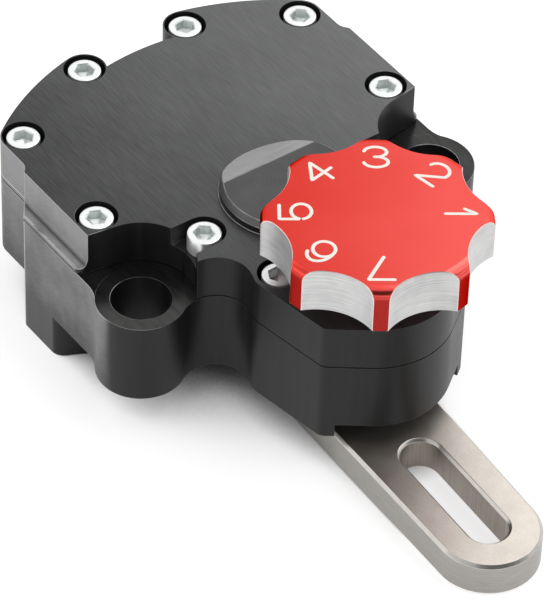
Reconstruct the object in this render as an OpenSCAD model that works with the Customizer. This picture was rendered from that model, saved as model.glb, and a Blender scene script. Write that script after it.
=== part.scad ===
// Rotary steering damper for a motorcycle, millimetres, Z up.
// The origin lies on the vane shaft's axis, level with the underside of the mounting ears.
// +Y points to the fan-shaped back, -Y to the nose with the knob and the slotted arm.

/* [Mounting ears] */
// Distance between the two ear bores
ear_spacing = 72; // [70:0.5:76]
// Outside diameter of each ear
ear_od = 18.6; // [17:0.2:21]
// Height of the ears' machined faces above the parting face
ear_rise = 0.1; // [0.1:0.05:0.5]
// Bore of each ear for the mounting bolt and its sleeve
ear_bore = 12.4; // [8:0.2:13]
// Radius of the pocket that the cover leaves round each ear
scallop_r = 11.1; // [10.8:0.1:11.8]
// Slope of the cover's edge from that pocket to its flank, degrees
scallop_slope = 9; // [4:1:14]

/* [Body] */
// Height of the housing from the ears' underside to the parting face
body_h = 19; // [17:0.5:24]
// Thickness of the housing's flanks beside the ends of the vane chamber
flank_t = 7.7; // [7:0.1:9]
// Outer radius of the vane chamber's wall
wall_r = 53.6; // [52:0.2:55]
// Thickness of the vane chamber's wall
wall_t = 5.8; // [4.5:0.1:8]
// Depth of the belly below the ears' underside
belly_h = 10.1; // [9.5:0.1:13]
// Half angle of the belly about the shaft, from the +Y axis, degrees
belly_angle = 64; // [62:1:67]
// Radius of the belly's corners at the flanks
belly_corner_r = 3; // [1:0.5:4]
// Thickness of the belly's floor
floor_t = 5.1; // [3:0.1:6]
// Radius of the bay in the belly that the arm's hub turns in
bay_r = 15.2; // [14:0.1:16.5]
// Radius of the blend between an ear and the neck
neck_blend_r = 7; // [6.6:0.1:8]
// Radius of the blend between an ear and the flank
flank_blend_r = 8; // [4:0.5:9]

/* [Cover] */
// Height of the top cover
cover_h = 10.1; // [9:0.1:14]
// How far the cover's flanks stand back from the housing's
cover_step = 1.9; // [1:0.1:2.5]
// Radius of the cove along the cover's flanks
cove_r = 3.1; // [2.6:0.1:4.5]
// Thickness of the foot that the cove leaves at the housing's flank
foot_t = 0.9; // [0.5:0.1:2]
// Thickness of the gasket at the parting face
gasket_t = 0.25; // [0.1:0.05:0.6]

/* [Cover screws] */
// Distance of the back screws' bolt circle outside the chamber's wall
bolt_step = 2.7; // [2:0.1:4.4]
// Angle of the inner back screws from the +Y axis, degrees
bolt_in_a = 13; // [11:0.5:15]
// Angle of the outer back screws from the +Y axis, degrees
bolt_out_a = 38.1; // [36:0.1:39]
// Radius of the lugs round the back screws and the flank screws
lug_r = 4.7; // [4.6:0.1:5.5]
// Blend between the inner back lugs and the chamber's wall
lug_blend_r = 1.8; // [1:0.1:3]
// Blend between a wing's end and the chamber's wall
wing_blend_r = 3; // [1:0.5:4]
// Y of the flank screws
flank_screw_y = 15.8; // [15.5:0.1:20]
// X of the screws beside the shaft
mid_screw_x = 20.8; // [20.6:0.1:21.4]
// X of the nose screws
nose_screw_x = 15.6; // [15:0.1:16.5]
// Y of the nose screws, towards the knob
nose_screw_y = 18.2; // [18:0.1:19]
// Radius of the lugs round the nose screws
nose_lug_r = 5.3; // [4.8:0.1:5.6]
// Thread diameter of the cover screws
screw_d = 4; // [3:0.5:4]
// Length of the cover screws under the head
screw_len = 16; // [12:1:18]
// Head diameter of the cover screws
head_d = 7; // [6:0.1:7.4]
// Head height of the cover screws
head_h = 4; // [3:0.1:5]
// Width across flats of the screws' sockets
hex_af = 3.7; // [2.5:0.1:4]
// Depth of the screws' sockets
hex_h = 2.2; // [1.5:0.1:2.4]
// Diameter of the counterbores
cbore_d = 8.8; // [8:0.1:9]
// How far the heads lie below the cover's face
head_sink = 0.35; // [0:0.05:1]

/* [Nose] */
// Distance of the knob's axis from the shaft's axis
knob_y = 28.9; // [28.5:0.1:30]
// Radius of the nose about the knob's axis
nose_r = 16.5; // [16:0.1:18]
// X of the nose's corners
nose_corner_x = 15.6; // [15:0.1:16]
// Y of the nose's corners, towards the arm
nose_corner_y = 34.9; // [34.6:0.1:35.5]
// Radius of the nose's corners
nose_corner_r = 2.4; // [1.5:0.1:3]
// Height of the relief under the nose
relief_h = 3.1; // [1:0.1:4]
// Half angle of the relief about the shaft, degrees
relief_a = 22; // [15:0.5:23]
// Radius where the relief starts
relief_r = 18; // [16:0.5:20]

/* [Centre cap] */
// Diameter of the bearing cap
cap_d = 28.2; // [27:0.1:29]
// Height of the cap above the cover
cap_h = 3; // [2.5:0.1:4.5]
// Width of the cap's bevel
cap_bevel = 0.8; // [0.3:0.1:1.2]
// Height of the cap's bevel
cap_bevel_h = 1.4; // [0.5:0.1:1.8]
// Width of the thin rim at the cap's foot
cap_rim = 0.3; // [0.1:0.05:0.6]
// Height of that rim
cap_rim_h = 0.35; // [0.2:0.05:0.6]
// Distance of the sloped facet's front edge from the axis
cap_facet_y = 7; // [5:0.1:9]
// Slope of the facet, degrees
cap_facet_a = 18; // [10:1:18]
// Diameter of the cap's spigot in the cover
cap_spigot_d = 24; // [22:0.2:25]
// Depth of the spigot
cap_spigot_h = 2.6; // [1.8:0.1:3]
// Section of the O-rings on the spigot and on the valve body
oring_d = 1.4; // [1:0.1:1.6]

/* [Shaft and vane] */
// Diameter of the rotor's hub
hub_d = 24; // [22:0.5:25]
// Diameter of the upper journal
top_journal_d = 14; // [11:0.5:15]
// Diameter of the lower journal
low_journal_d = 15; // [13.5:0.5:16]
// Outside diameter of the bushes and of the shaft seal
bush_d = 19; // [18.5:0.5:20]
// Height of the shaft seal
seal_h = 2.3; // [1.5:0.1:2.8]
// Thickness of the vane
vane_t = 7; // [5:0.5:9]
// Greatest swing of the arm to each side, degrees
swing = 42; // [30:1:44]
// Free gap between the vane and the chamber's end wall at full swing
vane_stop_gap = 0.6; // [0.4:0.1:1.5]
// Height of the hub's floor above the ears' underside
hub_floor = 4; // [3.6:0.1:6]
// Radius where the deep part of the chamber starts
deep_r = 19.2; // [18.6:0.1:20]
// Width of the vane's tip seal
tip_seal_w = 2.4; // [1.5:0.1:3]
// Depth of the vane's tip seal
tip_seal_h = 3; // [2:0.1:4]
// Depth of the thrust boss under the housing
boss_h = 1.7; // [1:0.1:2.2]
// Wall of that boss round the shaft seal
boss_wall = 1.7; // [1:0.1:2.5]

/* [Arm] */
// Distance from the shaft's axis to the centre of the arm's round end
arm_len = 73.6; // [66:0.2:90]
// Width of the arm at its round end
arm_end_w = 21.8; // [18:0.2:24]
// Width of the arm at the hub
arm_hub_w = 24.8; // [24:0.2:27]
// Thickness of the arm
arm_t = 8; // [7:0.1:8]
// Edge chamfer of the arm
arm_chamfer = 0.65; // [0.2:0.05:1.2]
// Gap between the housing's thrust boss and the arm
arm_gap = 0.4; // [0.2:0.05:0.6]
// Width of the slot for the link pin
slot_w = 8.5; // [6:0.1:10]
// Distance from the shaft's axis to the slot's near centre
slot_near = 50.4; // [44:0.2:60]
// Distance from the slot's far centre back from the round end's centre
slot_back = 0.3; // [0:0.1:6]
// Swing of the arm in the modelled position, degrees
arm_rest = -3.1; // [-20:0.1:20]
// Diameter of the shaft's end that carries the arm
end_d = 13; // [11:0.2:14]
// Width across the two flats of the shaft's end
end_af = 10; // [8:0.2:12]
// Depth of the pocket for the arm's screw
arm_pocket_h = 3.9; // [3.6:0.1:4.2]
// Thread diameter of the arm's screw
arm_screw_d = 6; // [5:0.5:6]
// Length of the arm's screw under its head
arm_screw_len = 12; // [9:0.5:14]
// Head diameter of the arm's screw
arm_head_d = 10.5; // [10:0.5:12]
// Head height of the arm's screw
arm_head_h = 2.3; // [1.8:0.1:2.5]
// Width across flats of that screw's socket
arm_hex_af = 4; // [3:0.5:5]
// Depth of that socket
arm_hex_h = 1.6; // [1:0.1:1.7]
// Outside diameter of the arm's washer
arm_washer_d = 15.8; // [14.4:0.2:16.4]
// Thickness of the arm's washer
arm_washer_t = 1.2; // [0.8:0.1:1.3]

/* [Knob] */
// Diameter of the knob
knob_d = 46; // [42:0.2:50]
// Height of the knob
knob_h = 10.25; // [9.8:0.05:14]
// Gap between the cover and the knob's underside
knob_lift = 6; // [5:0.1:8]
// Radius of the knob's rounded shoulder
knob_round_r = 2.6; // [1:0.1:3]
// Thickness of the knob over the end of its stem
knob_roof = 3.4; // [2.5:0.1:4.5]
// Number of grip flutes
flutes = 8; // [6:1:8]
// Radius of each flute
flute_r = 12.55; // [10:0.05:13]
// Radius of the waist that the flutes leave
waist_r = 19.45; // [19:0.05:20.5]
// Turn of the knob in the modelled position, degrees
knob_rest = 10.3; // [-22:0.1:22]
// Total turn of the knob, degrees
knob_turn = 270; // [180:5:315]
// Lead of the needle's thread for each turn of the knob
needle_lead = 4; // [2:0.1:4.5]
// Diameter of the grub screw that holds the knob
grub_d = 3; // [2.5:0.5:3.5]
// Length of the grub screw
grub_len = 8; // [6:0.5:12]
// Depth of the grub screw's socket
grub_hex_h = 2; // [1:0.1:2.5]
// Height of the grub screw above the knob's underside
grub_z = 4; // [3.5:0.1:4.5]

/* [Valve] */
// Diameter of the valve body's flange under the knob
flange_d = 27; // [24:0.5:28]
// Gap between that flange and the knob
flange_gap = 0.5; // [0.3:0.05:1]
// Diameter of the valve body's shank in the cover
shank_d = 18; // [16:0.5:19]
// Height of the shank's end above the gasket
valve_lift = 0.6; // [0.3:0.1:1]
// Depth of the shank's O-ring below the cover's face
valve_ring_h = 3.2; // [2.4:0.1:4.4]
// Diameter of the valve pocket in the housing
valve_pocket_d = 12; // [11.5:0.5:13]
// Depth of the valve pocket in the housing
valve_pocket_h = 11; // [10:0.1:12]
// Diameter of the seat's orifice
orifice_d = 2.6; // [2:0.1:2.8]
// Height of the seat's ring
seat_h = 4; // [3.6:0.1:4.4]
// Depth of the seat's mouth
seat_mouth_h = 1.5; // [1:0.1:2]
// Wall of the seat's ring round its mouth
seat_wall = 2; // [1.2:0.1:2.6]
// Length of the needle's cone
cone_h = 2.3; // [1.5:0.1:3]
// Diameter of the needle's guided collar
collar_d = 6; // [5.5:0.1:6.5]
// Length of that collar
collar_h = 4.9; // [4:0.1:5]
// Height of the bore in the shank that guides the collar
guide_h = 4.5; // [4.4:0.1:5]
// Diameter of the needle's threaded neck
neck_d = 4; // [3.4:0.1:4.4]
// Length of that neck
neck_h = 7.6; // [7:0.1:8.4]
// Diameter of the stem
stem_d = 8; // [7.5:0.5:9]
// Depth of the flat on the stem that the grub screw bears on
stem_flat = 0.8; // [0.4:0.1:1.2]
// Width of the fluid galleries
gallery_w = 3; // [2:0.1:3.2]
// Depth of the fluid galleries
gallery_h = 3.5; // [2:0.1:5]

/* [Detent] */
// Diameter of the detent ball
ball_d = 3.2; // [2.8:0.1:3.4]
// Radius of the detent track under the knob
detent_r = 9.5; // [9:0.1:10.5]
// Depth of that track
track_h = 0.7; // [0.6:0.05:1]
// Depth of the dimples in the track
dimple_h = 0.4; // [0.2:0.05:0.8]
// Depth of the detent ball's pocket
detent_h = 5; // [4.8:0.1:5.2]
// Wire diameter of the detent spring
wire_d = 0.4; // [0.3:0.05:0.4]
// Coils of the detent spring
coils = 3; // [2:0.5:3]

/* [Hidden] */
$fn = 96;
// Clearances: running fits, slip fits, faces and bores that pass freely, seals and tapped holes
run_fit = 0.04;
slip_fit = 0.05;
face_gap = 0.2;
free_gap = 0.3;
bear_gap = 0.1;
tap_run = 1;
// How far cuts run past a face, and how far shapes of one piece run into each other
cut = 1;
eps = 0.01;
hair = 0.003;
overlap = 4;
// Small chamfers of the screws
tip_chamfer = 0.4;
head_chamfer = 0.35;
// Levels
z_cover = body_h + gasket_t;
z_top = z_cover + cover_h;
z_head = z_top - head_sink;
z_seat = z_head - head_h;
z_floor = floor_t - belly_h;
z_boss = -boss_h;
z_bush = z_boss + seal_h;
z_arm = z_boss - arm_gap;
z_arm_low = z_arm - arm_t;
z_arm_head = z_arm_low + arm_pocket_h - arm_washer_t;
z_spigot = z_top - cap_spigot_h;
z_knob = z_top + knob_lift;
z_knob_top = z_knob + knob_h;
// The chamber, whose ends set the body's flanks
chamber_r = wall_r - wall_t;
end_gap = vane_t / 2 + vane_stop_gap;
chamber_x = end_gap * cos(swing) + sqrt(chamber_r * chamber_r - end_gap * end_gap) * sin(swing);
flank_x = chamber_x + flank_t;
cover_x = flank_x - cover_step;
cove_z = z_cover + foot_t + sqrt(cove_r * cove_r - pow(cove_r - cover_step, 2));
// Plan points
function polar(r, a) = [r * sin(a), r * cos(a)];
ear = [ear_spacing / 2, 0];
knob_c = [0, -knob_y];
nose_screw = [nose_screw_x, -nose_screw_y];
nose_corner = [nose_corner_x, -nose_corner_y];
flank_screw = [cover_x - lug_r, flank_screw_y];
mid_screw = [mid_screw_x, 0];
bolt_r = wall_r + bolt_step;
back_in = polar(bolt_r, bolt_in_a);
back_out = polar(bolt_r, bolt_out_a);
rim_r = bolt_r + lug_r;
right_screws = [back_in, back_out, flank_screw, mid_screw, nose_screw];
screw_hole_d = screw_d + 2 * slip_fit;
// Turn of each hexagon socket as it was left when the screws were tightened
socket_turn = [6, 16.5, 37.5, 51, 26, 38, 49, 36, 21.5, 2];
// Where the foot of each wing meets the chamber's wall
wing_sink = 0.8;
wing_x = back_out[0] + lug_r;
wing_y = sqrt(wall_r * wall_r - wing_x * wing_x) - wing_sink;
// The valve, from the pocket's floor to the top of the stem
travel = needle_lead * knob_turn / 360;
z_pocket = body_h - valve_pocket_h;
z_seat_face = z_pocket + seat_h - seat_mouth_h;
z_valve = z_cover + valve_lift;
z_shoulder = z_valve + guide_h;
z_valve_ring = z_top - valve_ring_h;
needle_r = orifice_d / 2 - free_gap;
needle_z = z_seat_face - cone_h + travel / 2;
collar_z = z_valve - travel / 2;
stem_low = z_shoulder + travel / 2 + face_gap;
stem_top = z_knob_top - knob_roof - face_gap;
flange_top = z_knob - flange_gap;
// The detent, with its ball held just clear of the track's ceiling
track_w = ball_d - 0.4;
ball_rise = 0.4;
ball_z = z_knob + ball_rise - ball_d / 2;
spring_r = ball_d / 2 - wire_d / 2 - bear_gap;
spring_low = flange_top - detent_h + wire_d / 2;
spring_high = ball_z - ball_d / 2 - wire_d / 2 + 0.35;
spring_steps = 14;
spring_n = round(coils * spring_steps);
// The grub screw's way in runs through the middle of a flute
grub_turn = -180 / flutes;

// Point at distance r1 from c1 and r2 from c2, on side s of the line between them
function meet(c1, r1, c2, r2, s) =
    let (d = norm(c2 - c1))
    let (a = (r1 * r1 - r2 * r2 + d * d) / (2 * d))
    let (h = sqrt(max(0, r1 * r1 - a * a)))
    let (u = (c2 - c1) / d)
    c1 + a * u + s * h * [-u[1], u[0]];

// The two ends of the straight line that touches two circles on side s, a hair inside both
function tangent(c1, r1, c2, r2, s) =
    let (d = c2 - c1)
    let (a = atan2(d[1], d[0]) + s * acos((r1 - r2) / norm(d)))
    let (n = [cos(a), sin(a)])
    [c1 + (r1 - hair) * n, c2 + (r2 - hair) * n];

module mirrored() {
    children();
    mirror([1, 0, 0]) children();
}

// Concave blend of radius f between two round bosses
module web(c1, r1, c2, r2, f, s) {
    m = meet(c1, r1 + f, c2, r2 + f, s);
    difference() {
        polygon([c1, m, c2]);
        translate(m) circle(r = f);
    }
}

// Sector of a disc about the +Y axis
module sector(r, a) {
    intersection() {
        circle(r = r);
        polygon([[0, 0], polar(3 * r, -a), polar(3 * r, -a / 2), polar(3 * r, 0),
            polar(3 * r, a / 2), polar(3 * r, a)]);
    }
}

// The chamber's wall between the flanks
module fan(half_w) {
    intersection() {
        circle(r = wall_r);
        translate([-half_w, 0]) square([2 * half_w, 2 * wall_r]);
    }
}

// One wing behind the chamber, with the lugs of two back screws
module wing() {
    translate(back_in) circle(r = lug_r);
    translate(back_out) circle(r = lug_r);
    intersection() {
        circle(r = rim_r);
        polygon([[0, 0], 2 * back_in, back_in + back_out, 2 * back_out]);
    }
    polygon([[wing_x - 2 * lug_r, wing_y], [wing_x, wing_y], [wing_x, back_out[1]], back_out]);
    web(back_in, lug_r, [0, 0], wall_r, lug_blend_r, 1);
    c = [wing_x + wing_blend_r, sqrt(pow(wall_r + wing_blend_r, 2) - pow(wing_x + wing_blend_r, 2))];
    difference() {
        polygon([[wing_x - lug_r, wing_y], [wing_x - lug_r, c[1]], c,
            c * (wall_r - wing_sink) / (wall_r + wing_blend_r)]);
        translate(c) circle(r = wing_blend_r);
    }
}

// Outline of the nose, tangent to its corners and to the lugs of the nose screws
module nose() {
    t1 = tangent(nose_screw, nose_lug_r, nose_corner, nose_corner_r, 1);
    t2 = tangent(nose_corner, nose_corner_r, knob_c, nose_r, 1);
    right = [nose_screw + overlap * [-1, 2], nose_screw, t1[0], t1[1], t2[0], t2[1]];
    left = [for (i = [5:-1:0]) [-right[i][0], right[i][1]]];
    polygon(concat(right, left));
    translate(knob_c) circle(r = nose_r);
    mirrored() {
        translate(nose_corner) circle(r = nose_corner_r);
        translate(nose_screw) circle(r = nose_lug_r);
    }
}

// The middle between ears, fan and nose, hollowed by the neck blends
module middle() {
    m = meet(ear, ear_od / 2 + neck_blend_r, nose_screw, nose_lug_r + neck_blend_r, 1);
    right = [nose_screw - [overlap / 2, overlap], nose_screw, m, ear, ear + [0, overlap]];
    left = [for (i = [4:-1:0]) [-right[i][0], right[i][1]]];
    difference() {
        polygon(concat(right, left));
        mirrored() translate(m) circle(r = neck_blend_r);
    }
}

// Pocket that the cover leaves round an ear
module scallop() {
    out = 2 * scallop_r;
    t = ear + scallop_r * [-sin(scallop_slope), cos(scallop_slope)];
    translate(ear) circle(r = scallop_r);
    polygon([ear, t, t + out * [cos(scallop_slope), sin(scallop_slope)], ear + [out, 0],
        ear + [out, -scallop_r], ear + [0, -scallop_r]]);
}

// Cutter that rounds the corner between a flank and an edge through p whose outward normal is n
module corner_cut(r, p, n) {
    x = flank_x - r;
    c = [x, p[1] - (r + (x - p[0]) * n[0]) / n[1]];
    m = n + [1, 0];
    difference() {
        polygon([c, c + [r + cut, 0], c + r * m / (1 + n[0]) + cut * m, c + (r + cut) * n]);
        translate(c) circle(r = r);
    }
}

// Corner of the cover's foot beside an ear pocket
module foot_corner() {
    n = [sin(scallop_slope), -cos(scallop_slope)];
    corner_cut(cover_step, ear - scallop_r * n, n);
}

// Plate of height h with the fan, wings, middle and nose joined as solids
module plate(h, half_w) {
    union() {
        linear_extrude(h) fan(half_w);
        mirrored() linear_extrude(h) wing();
        linear_extrude(h) middle();
        linear_extrude(h) nose();
    }
}

// Mounting ear with its blend into the flank
module ear_boss(h) {
    blend_x = flank_x + flank_blend_r;
    blend_y = sqrt(max(1, pow(ear_od / 2 + flank_blend_r, 2) - pow(blend_x - ear[0], 2)));
    inner = [flank_x - 2 * overlap, blend_y + overlap];
    translate([ear[0], ear[1], 0]) cylinder(d = ear_od, h = h + ear_rise);
    linear_extrude(h) difference() {
        polygon([ear, [blend_x, blend_y], [flank_x, blend_y], inner]);
        translate([blend_x, blend_y]) circle(r = flank_blend_r);
    }
}

// The belly that holds the deep part of the chamber
module belly_outline() {
    difference() {
        intersection() {
            fan(flank_x);
            sector(2 * wall_r, belly_angle);
        }
        circle(r = bay_r);
    }
}

// Plan of the space that the vane sweeps, out to radius r
module swept(r) {
    u = polar(1, swing);
    p = end_gap * [cos(swing), -sin(swing)];
    q = p + 2 * r * u;
    intersection() {
        circle(r = r);
        polygon([[0, -end_gap / 2], p, q, [0, 3 * r], [-q[0], q[1]], [-p[0], p[1]]]);
    }
}

// Fluid galleries from the chamber's ends round the hub to the valve pocket
module galleries() {
    r1 = hub_d / 2 + cut;
    r2 = r1 + gallery_w;
    turn_off = 155;
    start = polar((r1 + r2) / 2, turn_off);
    run = knob_c - start;
    mirrored() {
        intersection() {
            difference() {
                circle(r = r2);
                circle(r = r1);
            }
            polygon([[0, 0], polar(3 * r2, swing), polar(3 * r2, 100), polar(3 * r2, turn_off)]);
        }
        intersection() {
            translate(start) rotate(atan2(run[1], run[0]))
                translate([-cut, -gallery_w / 2]) square([norm(run), gallery_w]);
            translate(knob_c) square(knob_y);
        }
    }
}

module screw_spots() {
    mirrored() for (p = right_screws) translate(p) children();
}

module housing() color("#2c2d2f") {
    difference() {
        union() {
            plate(body_h, flank_x);
            mirrored() ear_boss(body_h);
            translate([0, 0, -belly_h]) linear_extrude(belly_h + eps) belly_outline();
            translate([0, 0, z_boss]) cylinder(r = bush_d / 2 + boss_wall, h = boss_h + eps);
        }
        // ear bores
        mirrored() translate([ear[0], ear[1], -cut]) cylinder(d = ear_bore, h = body_h + 2 * cut);
        // rounded corners of the belly
        mirrored() translate([0, 0, -belly_h - cut]) linear_extrude(belly_h + cut)
            corner_cut(belly_corner_r, [0, 0], [cos(belly_angle), -sin(belly_angle)]);
        // relief under the nose
        translate([0, 0, -eps]) linear_extrude(relief_h + eps) mirror([0, 1, 0]) difference() {
            sector(knob_y + nose_r + overlap, relief_a);
            circle(r = relief_r);
        }
        // vane chamber, its deep part and the hub's pocket
        translate([0, 0, hub_floor]) linear_extrude(body_h) swept(chamber_r);
        translate([0, 0, z_floor]) linear_extrude(body_h) difference() {
            swept(chamber_r);
            circle(r = deep_r);
        }
        translate([0, 0, hub_floor]) cylinder(r = hub_d / 2 + run_fit, h = body_h);
        // seats of the lower bush and the shaft seal
        translate([0, 0, z_boss - cut]) cylinder(d = bush_d, h = hub_floor + boss_h + 2 * cut);
        // valve pocket and galleries
        translate([knob_c[0], knob_c[1], z_pocket]) cylinder(d = valve_pocket_d, h = body_h);
        translate([0, 0, body_h - gallery_h]) linear_extrude(gallery_h + cut) galleries();
        // tapped holes
        translate([0, 0, z_seat - screw_len - tap_run]) screw_spots()
            cylinder(d = screw_hole_d, h = body_h + cover_h);
    }
}

module top_cover() color("#343537") {
    difference() {
        translate([0, 0, z_cover]) plate(cover_h, flank_x);
        translate([0, 0, z_cover - cut]) linear_extrude(cover_h + 2 * cut) mirrored() scallop();
        mirrored() translate([0, 0, z_cover - cut]) linear_extrude(cover_h + 2 * cut) foot_corner();
        // cove along each flank, down to the thin foot
        mirrored() {
            translate([cover_x, 0, cove_z]) cube([wall_r, wall_r, cover_h]);
            translate([cover_x + cove_r, wall_r, cove_z]) rotate([90, 0, 0]) cylinder(r = cove_r, h = wall_r);
        }
        // counterbores and screw holes
        screw_spots() {
            translate([0, 0, z_cover - cut]) cylinder(d = screw_hole_d, h = cover_h + 2 * cut);
            translate([0, 0, z_seat]) cylinder(d = cbore_d, h = cover_h);
        }
        // the counterbores beside the shaft run out into the ear pockets
        mirrored() translate([mid_screw[0], -cbore_d / 2, z_seat])
            cube([ear[0] - mid_screw[0], cbore_d, cover_h]);
        // seats of the upper bush, the cap and the valve body
        translate([0, 0, z_cover - cut]) cylinder(d = bush_d, h = cover_h + 2 * cut);
        translate([0, 0, z_spigot - face_gap]) cylinder(r = cap_spigot_d / 2 + slip_fit, h = cover_h);
        translate([knob_c[0], knob_c[1], z_cover - cut])
            cylinder(r = shank_d / 2 + slip_fit, h = cover_h + 2 * cut);
    }
}

module cover_gasket() color("#1d1d1f") {
    difference() {
        translate([0, 0, body_h]) plate(gasket_t, flank_x);
        translate([0, 0, body_h - cut]) linear_extrude(gasket_t + 2 * cut) {
            mirrored() scallop();
            mirrored() foot_corner();
            swept(chamber_r);
            circle(r = hub_d / 2 + run_fit);
            translate(knob_c) circle(r = shank_d / 2 + free_gap);
            screw_spots() circle(d = screw_hole_d);
        }
    }
}

// Groove for an O-ring on a spigot of diameter d
module ring_groove(d) {
    rotate_extrude() translate([d / 2 + slip_fit - oring_d - hair, -oring_d / 2 - slip_fit])
        square([oring_d, oring_d + 2 * slip_fit]);
}

module o_ring(d) {
    rotate_extrude() translate([d / 2 + slip_fit - oring_d / 2, 0]) circle(d = oring_d, $fn = 32);
}

// Cap over the upper end of the shaft, with a sloped facet at its back
module centre_cap() color("#3a3b3d") {
    r = cap_d / 2;
    z = z_top + cap_h;
    difference() {
        union() {
            rotate_extrude() polygon([[0, z_spigot], [cap_spigot_d / 2, z_spigot],
                [cap_spigot_d / 2, z_top], [r, z_top], [r, z - cap_bevel_h], [r - cap_bevel, z], [0, z]]);
            translate([0, 0, z_top]) cylinder(r = r + cap_rim, h = cap_rim_h);
        }
        translate([0, 0, z_top - cap_spigot_h / 2]) ring_groove(cap_spigot_d);
        translate([0, cap_facet_y, z]) rotate([-cap_facet_a, 0, 0])
            translate([-cap_d, 0, 0]) cube([2 * cap_d, cap_d, cap_d]);
    }
}

module cap_seal() color("#161616") translate([0, 0, z_top - cap_spigot_h / 2]) o_ring(cap_spigot_d);

// Socket cap screw standing on its head's seat
module cap_screw(turn) {
    head_r = head_d / 2;
    shank_r = screw_d / 2;
    difference() {
        rotate_extrude() polygon([[0, -screw_len], [shank_r - tip_chamfer, -screw_len],
            [shank_r, -screw_len + tip_chamfer], [shank_r, 0], [head_r, 0], [head_r, head_h - head_chamfer],
            [head_r - head_chamfer, head_h], [0, head_h]]);
        translate([0, 0, head_h - hex_h]) rotate(turn)
            cylinder(d = hex_af / cos(30), h = hex_h + cut, $fn = 6);
    }
}

module cover_screw(i) color("#d9dcd8") {
    p = right_screws[i % 5];
    translate([i < 5 ? p[0] : -p[0], p[1], z_seat]) cap_screw(socket_turn[i]);
}

module cover_screw_1() cover_screw(0);
module cover_screw_2() cover_screw(1);
module cover_screw_3() cover_screw(2);
module cover_screw_4() cover_screw(3);
module cover_screw_5() cover_screw(4);
module cover_screw_6() cover_screw(5);
module cover_screw_7() cover_screw(6);
module cover_screw_8() cover_screw(7);
module cover_screw_9() cover_screw(8);
module cover_screw_10() cover_screw(9);

module ring(z0, z1, d_in, d_out) {
    translate([0, 0, z0]) difference() {
        cylinder(d = d_out, h = z1 - z0);
        translate([0, 0, -cut]) cylinder(d = d_in, h = z1 - z0 + 2 * cut);
    }
}

module upper_bush() color("#b08d57") {
    ring(z_cover, z_spigot - face_gap, top_journal_d + 2 * run_fit, bush_d);
}

module lower_bush() color("#b08d57") {
    ring(z_bush, hub_floor, low_journal_d + 2 * run_fit, bush_d);
}

module shaft_seal() color("#1c1c1e") {
    ring(z_boss, z_bush, low_journal_d + 2 * run_fit, bush_d);
}

// Rotor with its two journals, the vane and the flatted end for the arm
module vane_shaft() color("#8f9296") {
    hub_low = hub_floor + face_gap;
    hub_top = body_h - face_gap;
    tip_r = chamber_r - face_gap;
    rotate(arm_rest) difference() {
        union() {
            translate([0, 0, hub_low]) cylinder(d = hub_d, h = hub_top - hub_low);
            translate([0, 0, hub_top - eps])
                cylinder(d = top_journal_d, h = z_spigot - 2 * face_gap - hub_top);
            translate([0, 0, z_boss - face_gap])
                cylinder(d = low_journal_d, h = hub_low - z_boss + 2 * face_gap);
            // the vane, with its deep part beyond the hub's floor
            intersection() {
                cylinder(r = tip_r, h = hub_top);
                translate([-vane_t / 2, 0, hub_low]) cube([vane_t, tip_r + cut, hub_top - hub_low]);
            }
            translate([0, 0, z_floor + face_gap]) linear_extrude(hub_top - z_floor - face_gap)
                intersection() {
                    difference() {
                        circle(r = tip_r);
                        circle(r = deep_r + face_gap);
                    }
                    translate([-vane_t / 2, 0]) square([vane_t, tip_r + cut]);
                }
            // flatted end, just short of the washer
            translate([0, 0, z_arm_low + arm_pocket_h + bear_gap]) intersection() {
                cylinder(d = end_d, h = arm_t - arm_pocket_h + arm_gap);
                translate([-end_d, -end_af / 2, 0]) cube([2 * end_d, end_af, arm_t]);
            }
        }
        // tapped hole of the arm's screw
        translate([0, 0, z_arm_head]) cylinder(r = arm_screw_d / 2 + slip_fit, h = arm_screw_len + tap_run);
        // slot of the tip seal
        translate([-tip_seal_w / 2 - slip_fit, tip_r - tip_seal_h, z_floor - cut])
            cube([tip_seal_w + 2 * slip_fit, tip_seal_h + cut, body_h - z_floor + 2 * cut]);
    }
}

module vane_tip_seal() color("#e8e4d8") {
    rotate(arm_rest) translate([0, 0, z_floor + face_gap]) linear_extrude(body_h - z_floor - 2 * face_gap)
        intersection() {
            circle(r = chamber_r - bear_gap);
            translate([-tip_seal_w / 2, chamber_r - face_gap - tip_seal_h])
                square([tip_seal_w, tip_seal_h + cut]);
        }
}

// Tapered bar with round ends and chamfered edges
module arm_blank() {
    c = arm_chamfer;
    hull() {
        cylinder(r = arm_hub_w / 2 - c, h = arm_t, $fn = 96);
        translate([0, 0, c]) cylinder(r = arm_hub_w / 2, h = arm_t - 2 * c, $fn = 96);
        translate([0, -arm_len, 0]) cylinder(r = arm_end_w / 2 - c, h = arm_t, $fn = 96);
        translate([0, -arm_len, c]) cylinder(r = arm_end_w / 2, h = arm_t - 2 * c, $fn = 96);
    }
}

// Chamfer round the mouth of the slot, from a little inside its walls
module slot_mouth(far) {
    c = arm_chamfer + slip_fit;
    r = slot_w / 2 - slip_fit;
    mid = (slot_near + far) / 2;
    for (y = [slot_near, far]) translate([0, -y, 0]) cylinder(r1 = r, r2 = r + c, h = c);
    translate([0, -mid, 0]) rotate([90, 0, 0]) linear_extrude(far - slot_near, center = true)
        polygon([[-r, 0], [r, 0], [r + c, c], [-r - c, c]]);
}

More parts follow.
